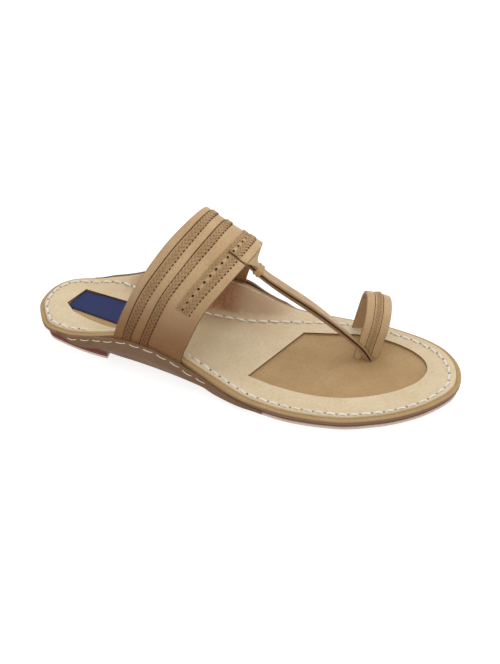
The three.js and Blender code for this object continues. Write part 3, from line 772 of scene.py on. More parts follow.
# %% Rawhide lacing
rawhide = tanned_leather("white rawhide lace", "E4DDD2", "D8CEC0", "A79C8A", "C0B49E", grain=0.9, rough=0.55)
hole_shade = tanned_leather("painted shade in a punched hole", "33241A", "2A1C14", "1D130D", "2A1C14", rough=0.8)
SEAM = table("x lateral medial", [
    (0, 4.6, 4.6), (14, 4.3, 5.6), (26, 4.2, 7), (40, 4.4, 7.4), (62, 9, 13), (85, 12, 16), (108, 6.4, 16.2),
    (124, 4.8, 16), (147, 4.3, 14), (168, 4.9, 11.5), (190, 5.1, 8), (206, 4.6, 7.3), (230, 4.2, 7.2),
    (253, 4.6, 7.2), (268, 6.4, 6.8),
])
LACE_PITCH, LACE_WIDTH, LACE_RISE = 7.0, 1.6, 0.7
seam_inset = {side: through(SEAM["x"], SEAM[side]) for side in SIGN}


def seam_line():
    """The whole lacing line, once round the foot."""
    u = np.linspace(0.02, np.pi - 0.02, 400)
    sides = {side: edge_point(u, side, seam_inset[side](station_of(u))) for side in SIGN}
    return np.vstack([sides["lateral"], sides["medial"][::-1], sides["lateral"][:1]])


seam = seam_line()
lace_count = int(round(length_along(seam)[-1] / LACE_PITCH))
seam_points = even(seam, lace_count * 20 + 1)
dice = np.random.default_rng(7)


def lace_dash(k):
    """One arched dash between two holes."""
    part = seam_points[k * 20:k * 20 + 21]
    t = np.linspace(0.1, 0.9, 9)
    line = np.stack([np.interp(t * 20, range(21), part[:, i]) for i in range(2)], axis=1)
    sideways = unit(np.array([line[-1, 1] - line[0, 1], line[0, 0] - line[-1, 0]]))
    line = line + np.linspace(-1, 1, 9)[:, None] * sideways * dice.uniform(0.05, 0.35)
    arch_up = np.sin(np.linspace(0, np.pi, 9))
    lift = INSOLE_LIFT - 0.25 + LACE_RISE * arch_up**0.7
    path = on_sole(line[:, 0], line[:, 1], lift)
    return tube(path, LACE_WIDTH / 2 * dice.uniform(0.9, 1.1), sides=8, flat=0.6,
                taper=0.6 + 0.4 * arch_up**0.5)


def hole_at(centre, out, radius, stretch=1.0, along=None):
    """A dark disc just proud of the leather, slightly dished: painted shade for the depth of a hole."""
    along = unit(np.cross(out, (0.3, 1, 0.1))) if along is None else unit(along)
    across_hole = np.cross(out, along)
    turn = np.linspace(0, 2 * np.pi, 12, endpoint=False)
    ring = stretch * np.cos(turn)[:, None] * along + np.sin(turn)[:, None] * across_hole
    outer, inner = centre + radius * ring, centre + 0.4 * radius * ring - out * 0.05
    return skin(np.stack([outer - out * 0.3, outer, inner]), caps=(True, True))


hole_spots = seam_points[::20][:-1]
# The outer side has no lacing from just behind the band's foot to its front edge
BARE_FROM, BARE_TO = 38, 98
bare = (hole_spots[:, 1] < 0) & (hole_spots[:, 0] > BARE_FROM) & (hole_spots[:, 0] < BARE_TO)
shows = ~bare
laces = [lace_dash(k) for k in range(lace_count) if shows[k]]
make_piece("insole_lacing", laces, rawhide)
hole_spots = hole_spots[shows]
hole_tops = on_sole(hole_spots[:, 0], hole_spots[:, 1], np.full(len(hole_spots), INSOLE_LIFT + 0.04))
hole_normals = unit(hole_tops - on_sole(hole_spots[:, 0], hole_spots[:, 1]))
# The holes' darkness is painted shade.
make_piece("lacing_holes", [hole_at(p, n, 0.7) for p, n in zip(hole_tops, hole_normals)],
           hole_shade)
print("lacing dashes:", len(laces), "of", lace_count, "places")

# %% [markdown]
# ## The woven label
#
# A navy woven label is sewn into the heel window. It is left plain here: only the weave and a folded
# border.

# %% Woven label
LABEL_CORNERS = np.array([(17.5, -3.2), (23.2, 14.6), (54, 11.8), (56.2, -10.8)])
LABEL_THICK = 0.55


def woven_label(name, base, stripe, thread_mm):
    """Satin weave: fine cross threads give a broken sheen."""
    material, tree = new_material(name)
    place = add(tree, "TexCoord").outputs["Object"]
    turned = add(tree, "Mapping", {"Vector": place, "Rotation": (0, 0, -1.3)}).outputs[0]
    weft = add(tree, "TexWave", {"Vector": turned, "Scale": per_metre(thread_mm) / 2, "Distortion": 1.5,
                                 "Detail": 2.0}, bands_direction="X").outputs["Fac"]
    warp = add(tree, "TexWave", {"Vector": turned, "Scale": per_metre(thread_mm) / 2, "Distortion": 1.5,
                                 "Detail": 2.0}, bands_direction="Y").outputs["Fac"]
    threads = add(tree, "Math", {0: weft, 1: warp}, operation="MULTIPLY").outputs[0]
    colour = blend_colours(tree, threads, linear(base), linear(stripe))
    bump = add(tree, "Bump", {"Height": threads, "Strength": 0.5, "Distance": 0.0001}).outputs[0]
    gloss = add(tree, "MapRange", {"Value": threads, "To Min": 0.55, "To Max": 0.7}).outputs[0]
    finish_material(tree, colour, gloss, bump, **{"Specular IOR Level": 0.3})
    return material


navy_weave = woven_label("navy woven satin", "152050", "212D64", 0.9)
border_weave = woven_label("black label border", "15182A", "23273D", 0.9)


def on_label(a, b, lift):
    """Point of the label: a runs over its length and b over its width, both 0 to 1."""
    rear = mix(LABEL_CORNERS[0], LABEL_CORNERS[1], np.expand_dims(b, -1))
    front = mix(LABEL_CORNERS[3], LABEL_CORNERS[2], np.expand_dims(b, -1))
    p = mix(rear, front, np.expand_dims(a, -1))
    return np.stack([p[..., 0], p[..., 1], topsole_flat(p[..., 0]) + lift], axis=-1)


def label_sheet(inset_a, inset_b, low, high):
    along_a = np.linspace(inset_a, 1 - inset_a, 24)
    along_b = np.linspace(inset_b, 1 - inset_b, 14)
    a, b = np.meshgrid(along_a, along_b, indexing="ij")
    wave = 0.08 * np.sin(a * 9) * np.sin(b * 5)
    grid = on_label(a, b, high + wave)
    edge = [grid[0], grid[1:, -1], grid[-1, :-1][::-1], grid[1:-1, 0][::-1]]
    rim = np.vstack(edge)
    foot = rim.copy()
    foot[:, 2] -= high - low
    return [skin(grid, loop=False, caps=(False, False)), skin(np.stack([rim, foot]), caps=(False, False))]


make_piece("label_border", label_sheet(0, 0, 0.02, LABEL_THICK), border_weave)
make_piece("label_cloth", label_sheet(0.025, 0.05, LABEL_THICK - 0.1, LABEL_THICK + 0.12), navy_weave)

# %% [markdown]
# ## The ears
#
# On each side of the waist a flap of leather, the ear, wraps the edge of the sole and hides where the
# straps go in. It hugs the sole at its ends and stands off where a strap passes between. A thread is
# sewn along its top in long dashes.

# %% Ears
POCKET = {"lateral": (58, 108), "medial": (76, 125)}
POCKET_FADE = 14
EAR_ENDS = {"lateral": (20, 160, 13, 56), "medial": (24, 172, 13, 24)}
BAND_TUCK = 8.6               # depth of the strap's end below the rim


def pocket_offset(x, side):
    """How far the ear's inner face stands off the edge of the sole."""
    start, stop = POCKET[side]
    passing = smooth((x - start) / POCKET_FADE + 1) * smooth((stop - x) / POCKET_FADE + 1)
    return 0.05 + (STRAP + GAP) * passing


def ear_lean(x, side, z):
    """Inset of the ear's inner face at a height: below the strap's end it leans in to the midsole."""
    tuck_end = rim_height(x, side) - BAND_TUCK
    knee = np.minimum(topsole_bottom(x) - 0.2, tuck_end - 0.2)
    offset = pocket_offset(x, side)
    upper_part = mix(-0.05, -offset, smooth((z - knee) / (tuck_end - knee)))
    low = midsole_bottom(x)
    lower_part = mix(midsole_edge(x) - 0.05, -0.05, np.clip((z - low) / (knee - low), 0, 1))
    return np.where(z >= knee, upper_part, lower_part)


def ear_edges(u, side):
    """Heights of the ear's two edges and its thickness: narrow at the heel, and towards the toe
    the upper edge drops to the midsole."""
    x = station_of(u)
    start, stop, rear_taper, front_taper = EAR_ENDS[side]
    rear = smooth((x - start) / rear_taper)
    front = np.clip((stop - x) / front_taper, 0, 1)
    base = midsole_bottom(x) - 0.05
    top = mix(base + 2.2, rim_height(x, side) - 0.3, front)
    bottom = mix(top - 1.6, base, rear)
    return x, bottom, top, mix(0.5, EAR, rear * smooth(2 * front))


def ear_part(side):
    u = stations(EAR_ENDS[side][0], EAR_ENDS[side][1], 150)
    x, bottom, top, wall = ear_edges(u, side)
    turn = [(inward * 0.7, up * 0.7) for inward, up in eased_corner(EDGE_ROUND)]
    corners = [(0.0, 0.0, bottom, 0.6)]
    corners += [(1.0, inward, bottom + up, 0.6) for inward, up in turn]
    corners += [(1.0, 0.0, mix(bottom, top, k), 0.0) for k in np.linspace(0.12, 0.88, 9)]
    corners += [(1.0, inward, top - up, 0.25) for inward, up in turn[::-1]]
    corners += [(0.0, 0.0, top, 0.25)]
    corners += [(0.0, 0.0, mix(bottom, top, k), 0.0) for k in np.linspace(0.9, 0.1, 7)]
    lines = []
    for out, inward, height, _ in corners:
        inset = ear_lean(x, side, height) - out * wall + inward
        lines.append(np.column_stack([edge_point(u, side, inset), height]))
    return skin(np.stack(lines, axis=1), cut_edge_and_shade=np.array([mark for _, _, _, mark in corners]))


for side in SIGN:
    make_piece(f"ear_flap_{side}", [ear_part(side)], ear_hide, [f"ear_{side}"])

# %% Thread along the ears and the inside of the cup
waxed_thread = tanned_leather("waxed linen thread", "E2D8C4", "D2C6AE", "A89877", "C9BCA2",
                              grain=0.6, rough=0.5)
THREAD_PITCH, THREAD_DASH, THREAD_RADIUS = 9.2, 6.4, 0.3


def thread_dashes(path, normals, radius):
    """Long dashes of thread along a line, each sagging a little between its holes."""
    length = length_along(path)
    parts = []
    for start in np.arange(1.5, length[-1] - THREAD_DASH, THREAD_PITCH):
        at = np.linspace(start, start + THREAD_DASH, 10)
        line = np.stack([np.interp(at, length, path[:, k]) for k in range(3)], axis=1)
        out = unit(np.stack([np.interp(at, length, normals[:, k]) for k in range(3)], axis=1))
        bow = np.sin(np.linspace(0, np.pi, 10))[:, None]
        line = line + out * (0.34 * bow**0.6 - 0.12) - np.array((0, 0, 0.35)) * bow
        parts.append(tube(line, radius, sides=6, normals=out))
    return parts


def outward(u, side):
    """Direction straight out of the sole's edge."""
    away = edge_point(u, side, -1.0) - edge_point(u, side, 0.0)
    return np.column_stack([away, np.zeros(len(u))])


def ear_seam(side):
    start, stop, _, _ = EAR_ENDS[side]
    u = stations(start + 7, stop - 32, 160)
    x, _, top, wall = ear_edges(u, side)
    height = top - 1.7
    path = np.column_stack([edge_point(u, side, ear_lean(x, side, height) - wall), height])
    return thread_dashes(path, outward(u, side), THREAD_RADIUS)


def cup_seam(side):
    """The same thread comes out inside the cup, just inside the insole's edge, pulled tight."""
    start, stop, _, _ = EAR_ENDS[side]
    u = stations(start + 14, stop - 26, 160)
    p = edge_point(u, side, BORDER + 0.75)
    low = on_sole(p[:, 0], p[:, 1], np.full(len(u), INSOLE_LIFT))
    return thread_dashes(low, unit(low - on_sole(p[:, 0], p[:, 1])), 0.2)


for side in SIGN:
    inner_thread = cup_seam(side) if side == "medial" else []
    make_piece(f"ear_thread_{side}", ear_seam(side) + inner_thread, waxed_thread)

# %% [markdown]
# ## The instep band
#
# The band is one broad strap. Its middle surface is ruled between a back curve and a front curve over
# the foot, and each face stands half the leather's thickness off it. The mesh is fine enough to hold
# the creased lines beside the plaits, and the inner half is lifted where it laps over the outer half.

# %% Where the band's decoration lies, from its back edge (0) to its front edge (1)
BAND_LINES = table("t crease_a dots_a crease_b dots_b row_a holes row_b dots_c", [
    (0.00, 0.150, 0.255, 0.405, 0.515, 0.665, 0.720, 0.770, 0.850),
    (0.23, 0.102, 0.240, 0.372, 0.485, 0.672, 0.728, 0.780, 0.855),
    (0.35, 0.113, 0.250, 0.380, 0.492, 0.680, 0.738, 0.815, 0.872),
    (0.45, 0.108, 0.238, 0.365, 0.488, 0.680, 0.745, 0.825, 0.885),
    (0.60, 0.085, 0.198, 0.335, 0.460, 0.690, 0.752, 0.825, 0.880),
    (1.00, 0.085, 0.198, 0.335, 0.460, 0.690, 0.752, 0.825, 0.880),
])
LACED_FROM, LACED_TO = 0.235, 0.76
LAP_FROM, LAP_AT, LAP_WIDE, LAP_RISE = 0.70, 0.506, 0.16, 0.85
band_line = {name: through(BAND_LINES["t"], BAND_LINES[name]) for name in BAND_LINES if name != "t"}


def band_relief(s, t):
    """Height of the outer face above plain thickness: creases sunk, the lap raised."""
    relief = np.zeros(np.broadcast(s, t).shape)
    for name in ("crease_a", "crease_b", "dots_a", "dots_b"):
        away = (s - band_line[name](t)) / 0.011
        relief = relief - 0.4 * np.exp(-away**2)
    lapped = smooth((s - LAP_FROM) / 0.05) * np.clip((t - LAP_AT) / 0.003, 0, 1)
    return relief + LAP_RISE * lapped * (1 - smooth((t - LAP_AT) / LAP_WIDE))


def band_part():
    s = np.linspace(0, 1, 110)
    t = np.linspace(0, 1, 300)
    half = STRAP / 2
    rows = []
    for k in t:
        out = unit(on_grid(band_normals, s, np.full_like(s, k)))
        middle = on_band(s, k)
        upper = middle + out * (half + band_relief(s, k))[:, None]
        lower = middle - out * half
        ends = []
        for end, inner in ((-1, -2), (0, 1)):
            away = unit(middle[end] - middle[inner])
            turn = np.linspace(0, np.pi, 7)[1:-1]
            mid = (upper[end] + lower[end]) / 2
            tall = np.linalg.norm(upper[end] - lower[end]) / 2
            curve = mid + np.cos(turn)[:, None] * out[end] * tall + 0.5 * np.sin(turn)[:, None] * away
            ends.append(curve)
        rows.append(np.vstack([upper, ends[0], lower[::-1], ends[1][::-1]]))
    rings = np.array(rows)
    marks = np.zeros(rings.shape[1])
    marks[110:115] = 0.8
    marks[225:] = 0.8
    return skin(rings, cut_edge_and_shade=marks)


make_piece("instep_band", [band_part()], strap_hide, ["upper"])

# %% [markdown]
# A three-strand plait is drawn by one rule: every strand swings from side to side as a sine and
# dips under at twice that rate, and the three strands are a third of a turn apart. Laid along a
# line on the band, that gives a real plait that catches the light.

# %% Plaits and whipped rows
# low is painted shade: the plaits darken towards the sole
plait_hide = tanned_leather("plaited strap lace", "AF9068", "9C7E56", "6B4C30", "5E4229",
                            grain=0.9, rough=0.5,
                            low="6E4420")
groove_dark = tanned_leather("burnished crease and painted lap shade", "5E3C20", "4E3018", "3A220F", "40260F", grain=0.8, rough=0.9)


def lane_on_band(place, start, stop, lift, step=0.4):
    """Evenly spaced points of a line on the band, and the direction out of the leather."""
    t = np.linspace(start, stop, 700)
    path = on_band(place(t), t, lift)
    count = int(length_along(path)[-1] / step)
    at = even(np.column_stack([path, t]), count)
    out = unit(on_grid(band_normals, place(at[:, 3]), at[:, 3]))
    return at[:, :3], out


def plait(path, out, width, pitch, thick=0.5):
    """Three flat strands that cross over and under along a path."""
    along = unit(np.gradient(path, axis=0))
    sideways = unit(np.cross(along, out))
    phase = 2 * np.pi * length_along(path) / (3 * pitch)
    strands = []
    for k in range(3):
        turn = phase + k * 2 * np.pi / 3
        swing = (width / 2 - 0.55) * np.sin(turn)
        dip = 0.28 * np.sin(2 * turn)
        line = path + sideways * swing[:, None] + out * dip[:, None]
        strands.append(tube(line, 0.72, sides=8, flat=thick, normals=out))
    return strands


def between(first, second):
    return lambda t: (band_line[first](t) + band_line[second](t)) / 2


plaits = []
for first, second in (("crease_a", "dots_a"), ("crease_b", "dots_b")):
    path, out = lane_on_band(between(first, second), 0.03, 0.97, STRAP / 2 + 0.15)
    plaits += plait(path, out, 4.3, 3.0)
make_piece("band_plaits", plaits, plait_hide)

# %% Creased lines and pricked dots beside the plaits
crease_parts = []
for name in ("crease_a", "crease_b"):
    path, out = lane_on_band(band_line[name], 0.02, 0.98, STRAP / 2 - 0.3, step=0.8)
    crease_parts.append(tube(path, 0.42, sides=6, flat=0.45, normals=out))
dot_parts = []
for name in ("dots_a", "dots_b"):
    path, out = lane_on_band(band_line[name], 0.02, 0.98, STRAP / 2 - 0.2, step=0.3)
    for start in range(0, len(path) - 6, 9):
        dot_parts.append(tube(path[start:start + 6], 0.4, sides=6, flat=0.5, normals=out[start:start + 6]))
make_piece("band_creases", crease_parts + dot_parts, groove_dark)

# %% [markdown]
# Further forward the band is pricked and laced: two narrow plaited rows with a row of punched holes
# between them. They start a little above the sole on each side. Each hole is a small dark dish, its
# depth shown by painted shade, with a pressed rim, which is enough for the eye at this size.

# %% Laced rows and punched holes
row_parts = []
for name, width, pitch in (("row_a", 3.1, 2.7), ("row_b", 4.1, 2.9)):
    path, out = lane_on_band(band_line[name], LACED_FROM, LACED_TO, STRAP / 2 + 0.1)
    lap = band_relief(band_line[name](np.linspace(LACED_FROM, LACED_TO, len(path))),
                      np.linspace(LACED_FROM, LACED_TO, len(path)))
    row_parts += plait(path + out * np.maximum(lap, 0)[:, None], out, width, pitch)
make_piece("band_laced_rows", row_parts, plait_hide)

HOLE_PITCH, HOLE_RADIUS = 5.2, 0.85
path, out = lane_on_band(band_line["holes"], LACED_FROM + 0.01, LACED_TO, STRAP / 2)
step = int(HOLE_PITCH / 0.4)
lap = band_relief(band_line["holes"](np.linspace(LACED_FROM, LACED_TO, len(path))),
                  np.linspace(LACED_FROM, LACED_TO, len(path)))
path = path + out * (np.maximum(lap, 0) + 0.06)[:, None]
make_piece("band_holes", [hole_at(path[k], out[k], HOLE_RADIUS, 1.2, path[k + 1] - path[k])
                          for k in range(0, len(path) - 1, step)], hole_shade)
rims = []
for k in range(0, len(path) - 1, step):
    along = unit(path[k + 1] - path[k])
    turn = np.linspace(0, 2 * np.pi, 17)
    circle = 1.2 * np.cos(turn)[:, None] * along + np.sin(turn)[:, None] * np.cross(out[k], along)
    rims.append(tube(path[k] + circle * (HOLE_RADIUS + 0.15), 0.26,
                     normals=np.broadcast_to(out[k], circle.shape)))
make_piece("band_hole_rims", rims, strap_hide)

path, out = lane_on_band(band_line["dots_c"], LACED_FROM, LACED_TO, STRAP / 2 - 0.05, step=0.3)
lap = band_relief(band_line["dots_c"](np.linspace(LACED_FROM, LACED_TO, len(path))),
                  np.linspace(LACED_FROM, LACED_TO, len(path)))
path = path + out * np.maximum(lap, 0)[:, None]
dots = [tube(path[k:k + 6], 0.45, sides=6, flat=0.5, normals=out[k:k + 6])
        for k in range(0, len(path) - 6, 9)]
# The dark tube along the lap's edge is painted shade under the lapped inner half.
lap_t = np.full(40, LAP_AT - 0.002)
lap_s = np.linspace(LAP_FROM, 1.0, 40)
LAP_OVER_BRAID, LAP_ON_STRAP, BRAID_ENDS = 0.95, 0.12, 0.84
settled = smooth((lap_s - BRAID_ENDS) / 0.04)
lap_path = on_band(lap_s, lap_t, STRAP / 2 + mix(LAP_OVER_BRAID, LAP_ON_STRAP, settled))
lap_out = unit(on_grid(band_normals, lap_s, lap_t))
make_piece("band_prickings_and_lap_shade", dots + [tube(lap_path, 0.5, flat=0.5, normals=lap_out)], groove_dark)

# %% [markdown]
# ## The thong
#
# The thong is a strap folded lengthwise, so its section is a C. The open side faces the outer side of
# the foot at the instep and slowly turns up towards the toe. The section is carried along a curve in
# a frame of three directions: along the strap, towards the open mouth, and towards the crown.

# %% The thong's path and frame
THONG = table("x y z width open squeeze", [
    (126, 6, 72.8, 5.4, 0, 1), (135, 6.8, 66.0, 5.6, 2, 1), (144, 7.6, 57.9, 6.2, 4, 1),
    (156, 8, 50.2, 6.8, 8, 1.1), (170, 8, 42.3, 7.2, 14, 1.1), (184, 8, 33, 7.2, 22, 1),
    (196, 8.1, 23.2, 7.4, 34, 0.88), (204.5, 8.6, 14.3, 7.6, 46, 0.8), (209.5, 9.2, 5.6, 7.6, 50, 0.8),
])
THONG_HEIGHT, THONG_WALL = 4.2, 1.5
GROOVE_DEPTH = 2.0            # the fold is glued shut below this depth
thong_rows = np.arange(len(THONG["x"]))
thong_points = np.column_stack([THONG["x"], THONG["y"], THONG["z"]])


def thong_frame(at):
    """Centre, mouth direction, crown direction, width and squeeze at places counted in rows."""
    centre = spline(thong_points, at)
    along = unit(spline(thong_points, at + 1e-3) - spline(thong_points, at - 1e-3))
    level = unit(np.array((0, -1, 0)) + along * along[:, 1:2])
    up = -np.cross(along, level)
    lean = np.radians(through(thong_rows, THONG["open"])(at))[:, None]
    mouth = level * np.cos(lean) + up * np.sin(lean)
    return (centre, mouth, -np.cross(along, mouth), through(thong_rows, THONG["width"])(at),
            through(thong_rows, THONG["squeeze"])(at))


def fold_section(width):
    """Points of the C and how much of the cut-edge colour each one takes, which inside the fold is
    partly the darker flesh side and partly painted shade; the mouth is at +a.
    """
    w, h, wall = width / 2, THONG_HEIGHT / 2, THONG_WALL
    turn = np.linspace(0, np.pi / 2, 6)
    r = 1.5
    crown = [(-w + r - r * math.sin(k), h - r + r * math.cos(k), 0.0) for k in turn]
    belly = [(-w + r - r * math.cos(k), -h + r - r * math.sin(k), 0.0) for k in turn]
    lower_lip = [(w - 0.25, -h, 0.3), (w, -h + 0.3, 0.7), (w, -h + wall - 0.3, 0.7),
                 (w - 0.25, -h + wall, 0.7)]
    deep = w - GROOVE_DEPTH
    # inside the fold the darker colour is partly the flesh side and partly painted shade in the groove
    inside = [(deep, -h + wall, 0.9), (deep - 0.2, 0, 1.0), (deep, h - wall, 0.9)]
    upper_lip = [(w - 0.25, h - wall, 0.7), (w, h - wall + 0.3, 0.5), (w, h - 0.3, 0.3), (w - 0.25, h, 0.0)]
    outside = [(w * 0.3, h, 0.0)] + crown + belly + [(w * 0.3, -h, 0.0)]
    return np.array(outside + lower_lip + inside + upper_lip)


def thong_part():
    at = np.linspace(0.0, 7.95, 150)
    centre, mouth, crown, width, squeeze = thong_frame(at)
    rings = []
    for k in range(len(at)):
        section = fold_section(width[k])
        rings.append(centre[k] + section[:, :1] * mouth[k] + section[:, 1:2] * crown[k] * squeeze[k])
    rings = np.array(rings)
    rings[..., 2] = np.maximum(rings[..., 2], topsole_flat(rings[..., 0]) + 0.05)
    return skin(rings, cut_edge_and_shade=fold_section(6.0)[:, 2])


thong_hide = tanned_leather("folded thong leather", "C0A27E", "B29470", "86643F", "6A4426", rough=0.4,
                            stretch=(0.35, 1, 0.35))
make_piece("folded_thong", [thong_part()], thong_hide)

# %% [markdown]
# A narrow strip is wrapped twice round the thong where it leaves the band. Its profile has two soft
# ridges with a valley between them.

# %% Keeper
KEEPER_AT, KEEPER_LENGTH = 1.52, 4.4
KEEPER_PROFILE = [(-0.5, 0.05), (-0.5, 0.4), (-0.38, 0.72), (-0.2, 0.72), (-0.04, 0.4), (0.04, 0.4),
                  (0.2, 0.72), (0.38, 0.72), (0.5, 0.4), (0.5, 0.05)]


def keeper_part():
    speed = np.linalg.norm(spline(thong_points, np.array([KEEPER_AT + 0.01]))
                           - spline(thong_points, np.array([KEEPER_AT - 0.01]))) / 0.02
    rings = []
    for place, grow in KEEPER_PROFILE:
        at = np.array([KEEPER_AT + place * KEEPER_LENGTH / speed])
        centre, mouth, crown, width, squeeze = thong_frame(at)
        w, h, r = width[0] / 2 + grow, THONG_HEIGHT / 2 + grow, 0.9
        ring = []
        for corner, (sa, sb) in enumerate([(1, 1), (-1, 1), (-1, -1), (1, -1)]):
            for k in np.linspace(0, np.pi / 2, 5):
                angle = k + corner * np.pi / 2
                ring.append(centre[0] + mouth[0] * (sa * (w - r) + r * math.cos(angle))
                            + crown[0] * (sb * (h - r) + r * math.sin(angle)) * squeeze[0])
        rings.append(ring)
    return skin(np.array(rings), caps=(False, False))


keeper_hide = tanned_leather("keeper strip leather", "B99970", "AB8A62", "85643F", "6E4E33", rough=0.4)
make_piece("keeper_wrap", [keeper_part()], keeper_hide, ["keeper_loop"])

# %% [markdown]
# The band's inner half tapers into the thong like the tongue of a folded collar: a leaf of leather
# between two edge curves, which start on the band and end inside the keeper.

# %% Tongue of the band
def on_thong(at, a, b):
    """Point beside the thong: a counts half widths towards the mouth and b half heights up."""
    centre, mouth, crown, width, squeeze = thong_frame(np.array([float(at)]))
    return centre[0] + mouth[0] * a * width[0] / 2 + crown[0] * b * THONG_HEIGHT / 2 * squeeze[0]


def leaf(left, right, thick):
    """A closed leaf between two curves, a little crowned, with the given thickness down."""
    rows = np.linspace(0, len(left) - 1, 40)
    left, right = (spline(np.array(edge), rows) for edge in (left, right))
    share = np.linspace(0, 1, 15)
    grid = mix(left[:, None], right[:, None], share[:, None])
    down = unit(np.cross(np.gradient(grid, axis=0), np.gradient(grid, axis=1)))
    if down[20, 7, 2] > 0:
        down = -down
    grid = grid - down * (0.35 * np.sin(np.pi * share))[:, None]
    under = grid + down * thick
    middle = (grid + under) / 2
    rings = np.concatenate([grid, middle[:, -1:] + 0.3 * unit(right - left)[:, None], under[:, ::-1],
                            middle[:, :1] - 0.3 * unit(right - left)[:, None]], axis=1)
    marks = np.zeros(rings.shape[1])
    marks[[0, 14, 15, 16, -2, -1]] = 0.7
    return skin(rings, cut_edge_and_shade=marks)


tongue = leaf([on_band(0.95, LAP_AT + 0.004, 1.2), on_band(0.992, LAP_AT, 1.8),
               on_thong(1.2, 0.95, 1.2), on_thong(1.45, 0.85, 1.1)],
              [on_band(0.955, 0.655, 1.0), on_band(0.992, 0.645, 1.3),
               on_thong(1.2, -1.0, 1.2), on_thong(1.45, -0.9, 1.1)], 0.9)
make_piece("band_tongue", [tongue], strap_hide)

# %% [markdown]
# ## The toe ring
#
# A strap bent into a hoop holds the big toe. Both its legs go down into the sole. It carries a
# narrow plait down its middle, between two creases.

# %% Ring path and directions
RING_FOOT, RING_TURN, RING_SPAN, RING_HEIGHT = (206.9, 9.8), 17, 27.5, 35.6
RING_WIDTH, RING_THICK, RING_LEAN, STRAP_SINK = 15.2, 2.2, 12, 1.6
RING_DROP = 4.6               # the hoop's front edge is lower than its back edge
ring_wide = np.array((math.cos(math.radians(RING_TURN)), math.sin(math.radians(RING_TURN)), 0))
ring_over = np.array((-ring_wide[1], ring_wide[0], 0))
ring_up = np.array((0, 0, 1)) + ring_wide * math.tan(math.radians(RING_LEAN))
ring_floor = float(topsole_flat(np.float64(RING_FOOT[0])))


def ring_line(low_shade_share):
    """The hoop's middle line from foot to foot, and its outward direction."""
    radius = RING_SPAN / 2
    leg_top = RING_HEIGHT - radius
    legs = np.linspace(-low_shade_share, leg_top, 24)[:-1]
    turn = np.linspace(0, np.pi, 60)
    reach = np.r_[np.zeros(23), radius * (1 - np.cos(turn)), np.full(23, RING_SPAN)]
    rise = np.r_[legs, leg_top + radius * np.sin(turn), legs[::-1]]
    facing = np.r_[np.zeros(23), turn, np.full(23, np.pi)][:, None]
    line = np.array((*RING_FOOT, ring_floor)) + reach[:, None] * ring_over + rise[:, None] * ring_up
    return line, -np.cos(facing) * ring_over + np.sin(facing) * np.array((0, 0, 1))


def lowered(points, across_ring):
    """The hoop with its height shrunk towards the front edge, as the toe is slimmer there."""
    height = points[..., 2] - ring_floor
    share = RING_DROP / RING_HEIGHT * np.clip((across_ring + RING_WIDTH / 2) / RING_WIDTH, 0, 1) ** 1.6
    points[..., 2] -= np.maximum(height, 0) * share
    return points


def ring_part():
    line, out = ring_line(STRAP_SINK)
    w, h = RING_WIDTH / 2, RING_THICK / 2
    wide = np.linspace(-w + 0.5, w - 0.5, 29)
    dent = -0.3 * (np.exp(-((wide - 2.5) / 0.45)**2) + np.exp(-((wide + 2.5) / 0.45)**2))
    turn = np.linspace(0, np.pi, 7)[1:-1]
    section = [(a, h + d, 0.0) for a, d in zip(wide, dent)]
    section += [(w - 0.5 + 0.5 * math.sin(k), h * math.cos(k), 0.7) for k in turn]
    section += [(a, -h, 0.15) for a in wide[::-4]]
    section += [(-w + 0.5 - 0.5 * math.sin(k), -h * math.cos(k), 0.7) for k in turn]
    section = np.array(section)
    rings = line[:, None] + section[:, :1] * ring_wide + section[:, 1:2] * out[:, None]
    return skin(lowered(rings, section[:, 0]), cut_edge_and_shade=section[:, 2])


ring_hide = tanned_leather("ring strap leather", "C2A47C", "B69770", "8E704A", "74543A", rough=0.45)
make_piece("toe_ring", [ring_part()], ring_hide)
ring_middle, ring_out = ring_line(0.0)
fine = even(np.column_stack([ring_middle, ring_out]), 240)
ring_middle, ring_out = fine[:, :3].copy(), unit(fine[:, 3:])
ring_face = RING_THICK / 2
ring_middle = lowered(ring_middle, 0.0)
ring_lace = tanned_leather("plaited ring lace", "AF9068", "9C7E56", "6B4C30", "5E4229",
                           grain=0.9, rough=0.5)
make_piece("ring_plait", plait(ring_middle + ring_out * (ring_face + 0.02), ring_out, 3.6, 2.3), ring_lace)
ring_plain = fine[:, :3]
ring_creases = [tube(lowered(ring_plain + ring_out * (ring_face - 0.28) + ring_wide * away, away), 0.26,
                     flat=0.45, normals=ring_out) for away in (-2.5, 2.5)]
make_piece("ring_creases", ring_creases, groove_dark)

# %% [markdown]
# ## Floor, light and camera
#
# The sandal stands on seamless white paper in a light tent: a broad soft light overhead, a little
# behind the shoe, and an even white surround. Upright faces get about half the light of level ones.

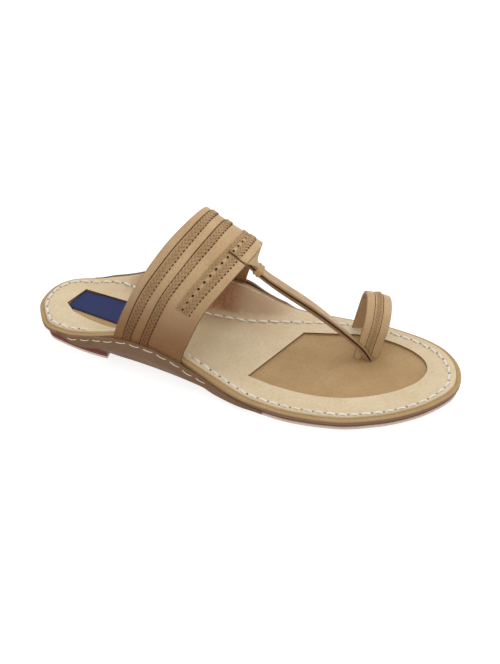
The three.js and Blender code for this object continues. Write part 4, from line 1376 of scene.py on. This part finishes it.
# %% Paper floor
paper, tree = new_material("white seamless paper")
place = add(tree, "TexCoord").outputs["Object"]
speckle = add(tree, "TexNoise", {"Vector": place, "Scale": 300.0}).outputs[0]
tone = blend_colours(tree, speckle, linear("9A9A9A"), linear("A0A0A0"))
bump = add(tree, "Bump", {"Height": speckle, "Strength": 0.05, "Distance": 0.0001}).outputs[0]
matt = add(tree, "MapRange", {"Value": speckle, "To Min": 0.85, "To Max": 0.95}).outputs[0]
finish_material(tree, tone, matt, bump, **{"Emission Color": (1, 1, 1, 1), "Emission Strength": 0.8})
floor_mesh = bpy.data.meshes.new("paper_floor")
floor_mesh.from_pydata([(x, y, -0.0003) for x, y in ((-4, -4), (4, -4), (4, 4), (-4, 4))], [], [(0, 1, 2, 3)])
floor_mesh.materials.append(paper)
floor = bpy.data.objects.new("paper_floor", floor_mesh)
bpy.context.scene.collection.objects.link(floor)
floor.visible_diffuse = False


# %% Lights
def soft_light(name, place, aim, size, power):
    data = bpy.data.lights.new(name, "AREA")
    data.shape, data.size, data.energy = "DISK", size, power
    light = bpy.data.objects.new(name, data)
    bpy.context.scene.collection.objects.link(light)
    light.location = place
    light.rotation_euler = (Vector(aim) - Vector(place)).to_track_quat("-Z", "Y").to_euler()
    return light


soft_light("overhead", (0.35, 0.7, 1.5), (0.1, 0, 0), 1.3, 7)
world = bpy.data.worlds.new("light tent")
bpy.context.scene.world = world
world.use_nodes = True
sky = world.node_tree
height_in_sky = add(sky, "SeparateXYZ", {0: add(sky, "TexCoord").outputs["Generated"]}).outputs[2]
glow = add(sky, "MapRange", {"Value": height_in_sky, "From Min": -0.3, "From Max": 0.1, "To Min": 0.7,
                             "To Max": 0.97}).outputs[0]
sky.links.new(glow, sky.nodes["Background"].inputs[1])
sky.nodes["Background"].inputs[0].default_value = (1, 1, 1, 1)
bpy.context.scene.view_settings.view_transform = "Standard"

# %% Camera: above the outer side, with a long lens
CAMERA_AZIMUTH, CAMERA_ELEVATION, CAMERA_DISTANCE, LENS = 17.35, 40.0, 1.165, 103.4
AIM = Vector((0.1057, 0.0020, 0.0167))
azimuth, elevation = math.radians(CAMERA_AZIMUTH), math.radians(CAMERA_ELEVATION)
back = Vector((math.sin(azimuth) * math.cos(elevation), -math.cos(azimuth) * math.cos(elevation),
               math.sin(elevation)))
camera_data = bpy.data.cameras.new("camera")
camera_data.lens, camera_data.sensor_width = LENS, 36
camera = bpy.data.objects.new("camera", camera_data)
bpy.context.scene.collection.objects.link(camera)
camera.location = AIM + back * CAMERA_DISTANCE
camera.rotation_euler = (-back).to_track_quat("-Z", "Y").to_euler()
bpy.context.scene.camera = camera
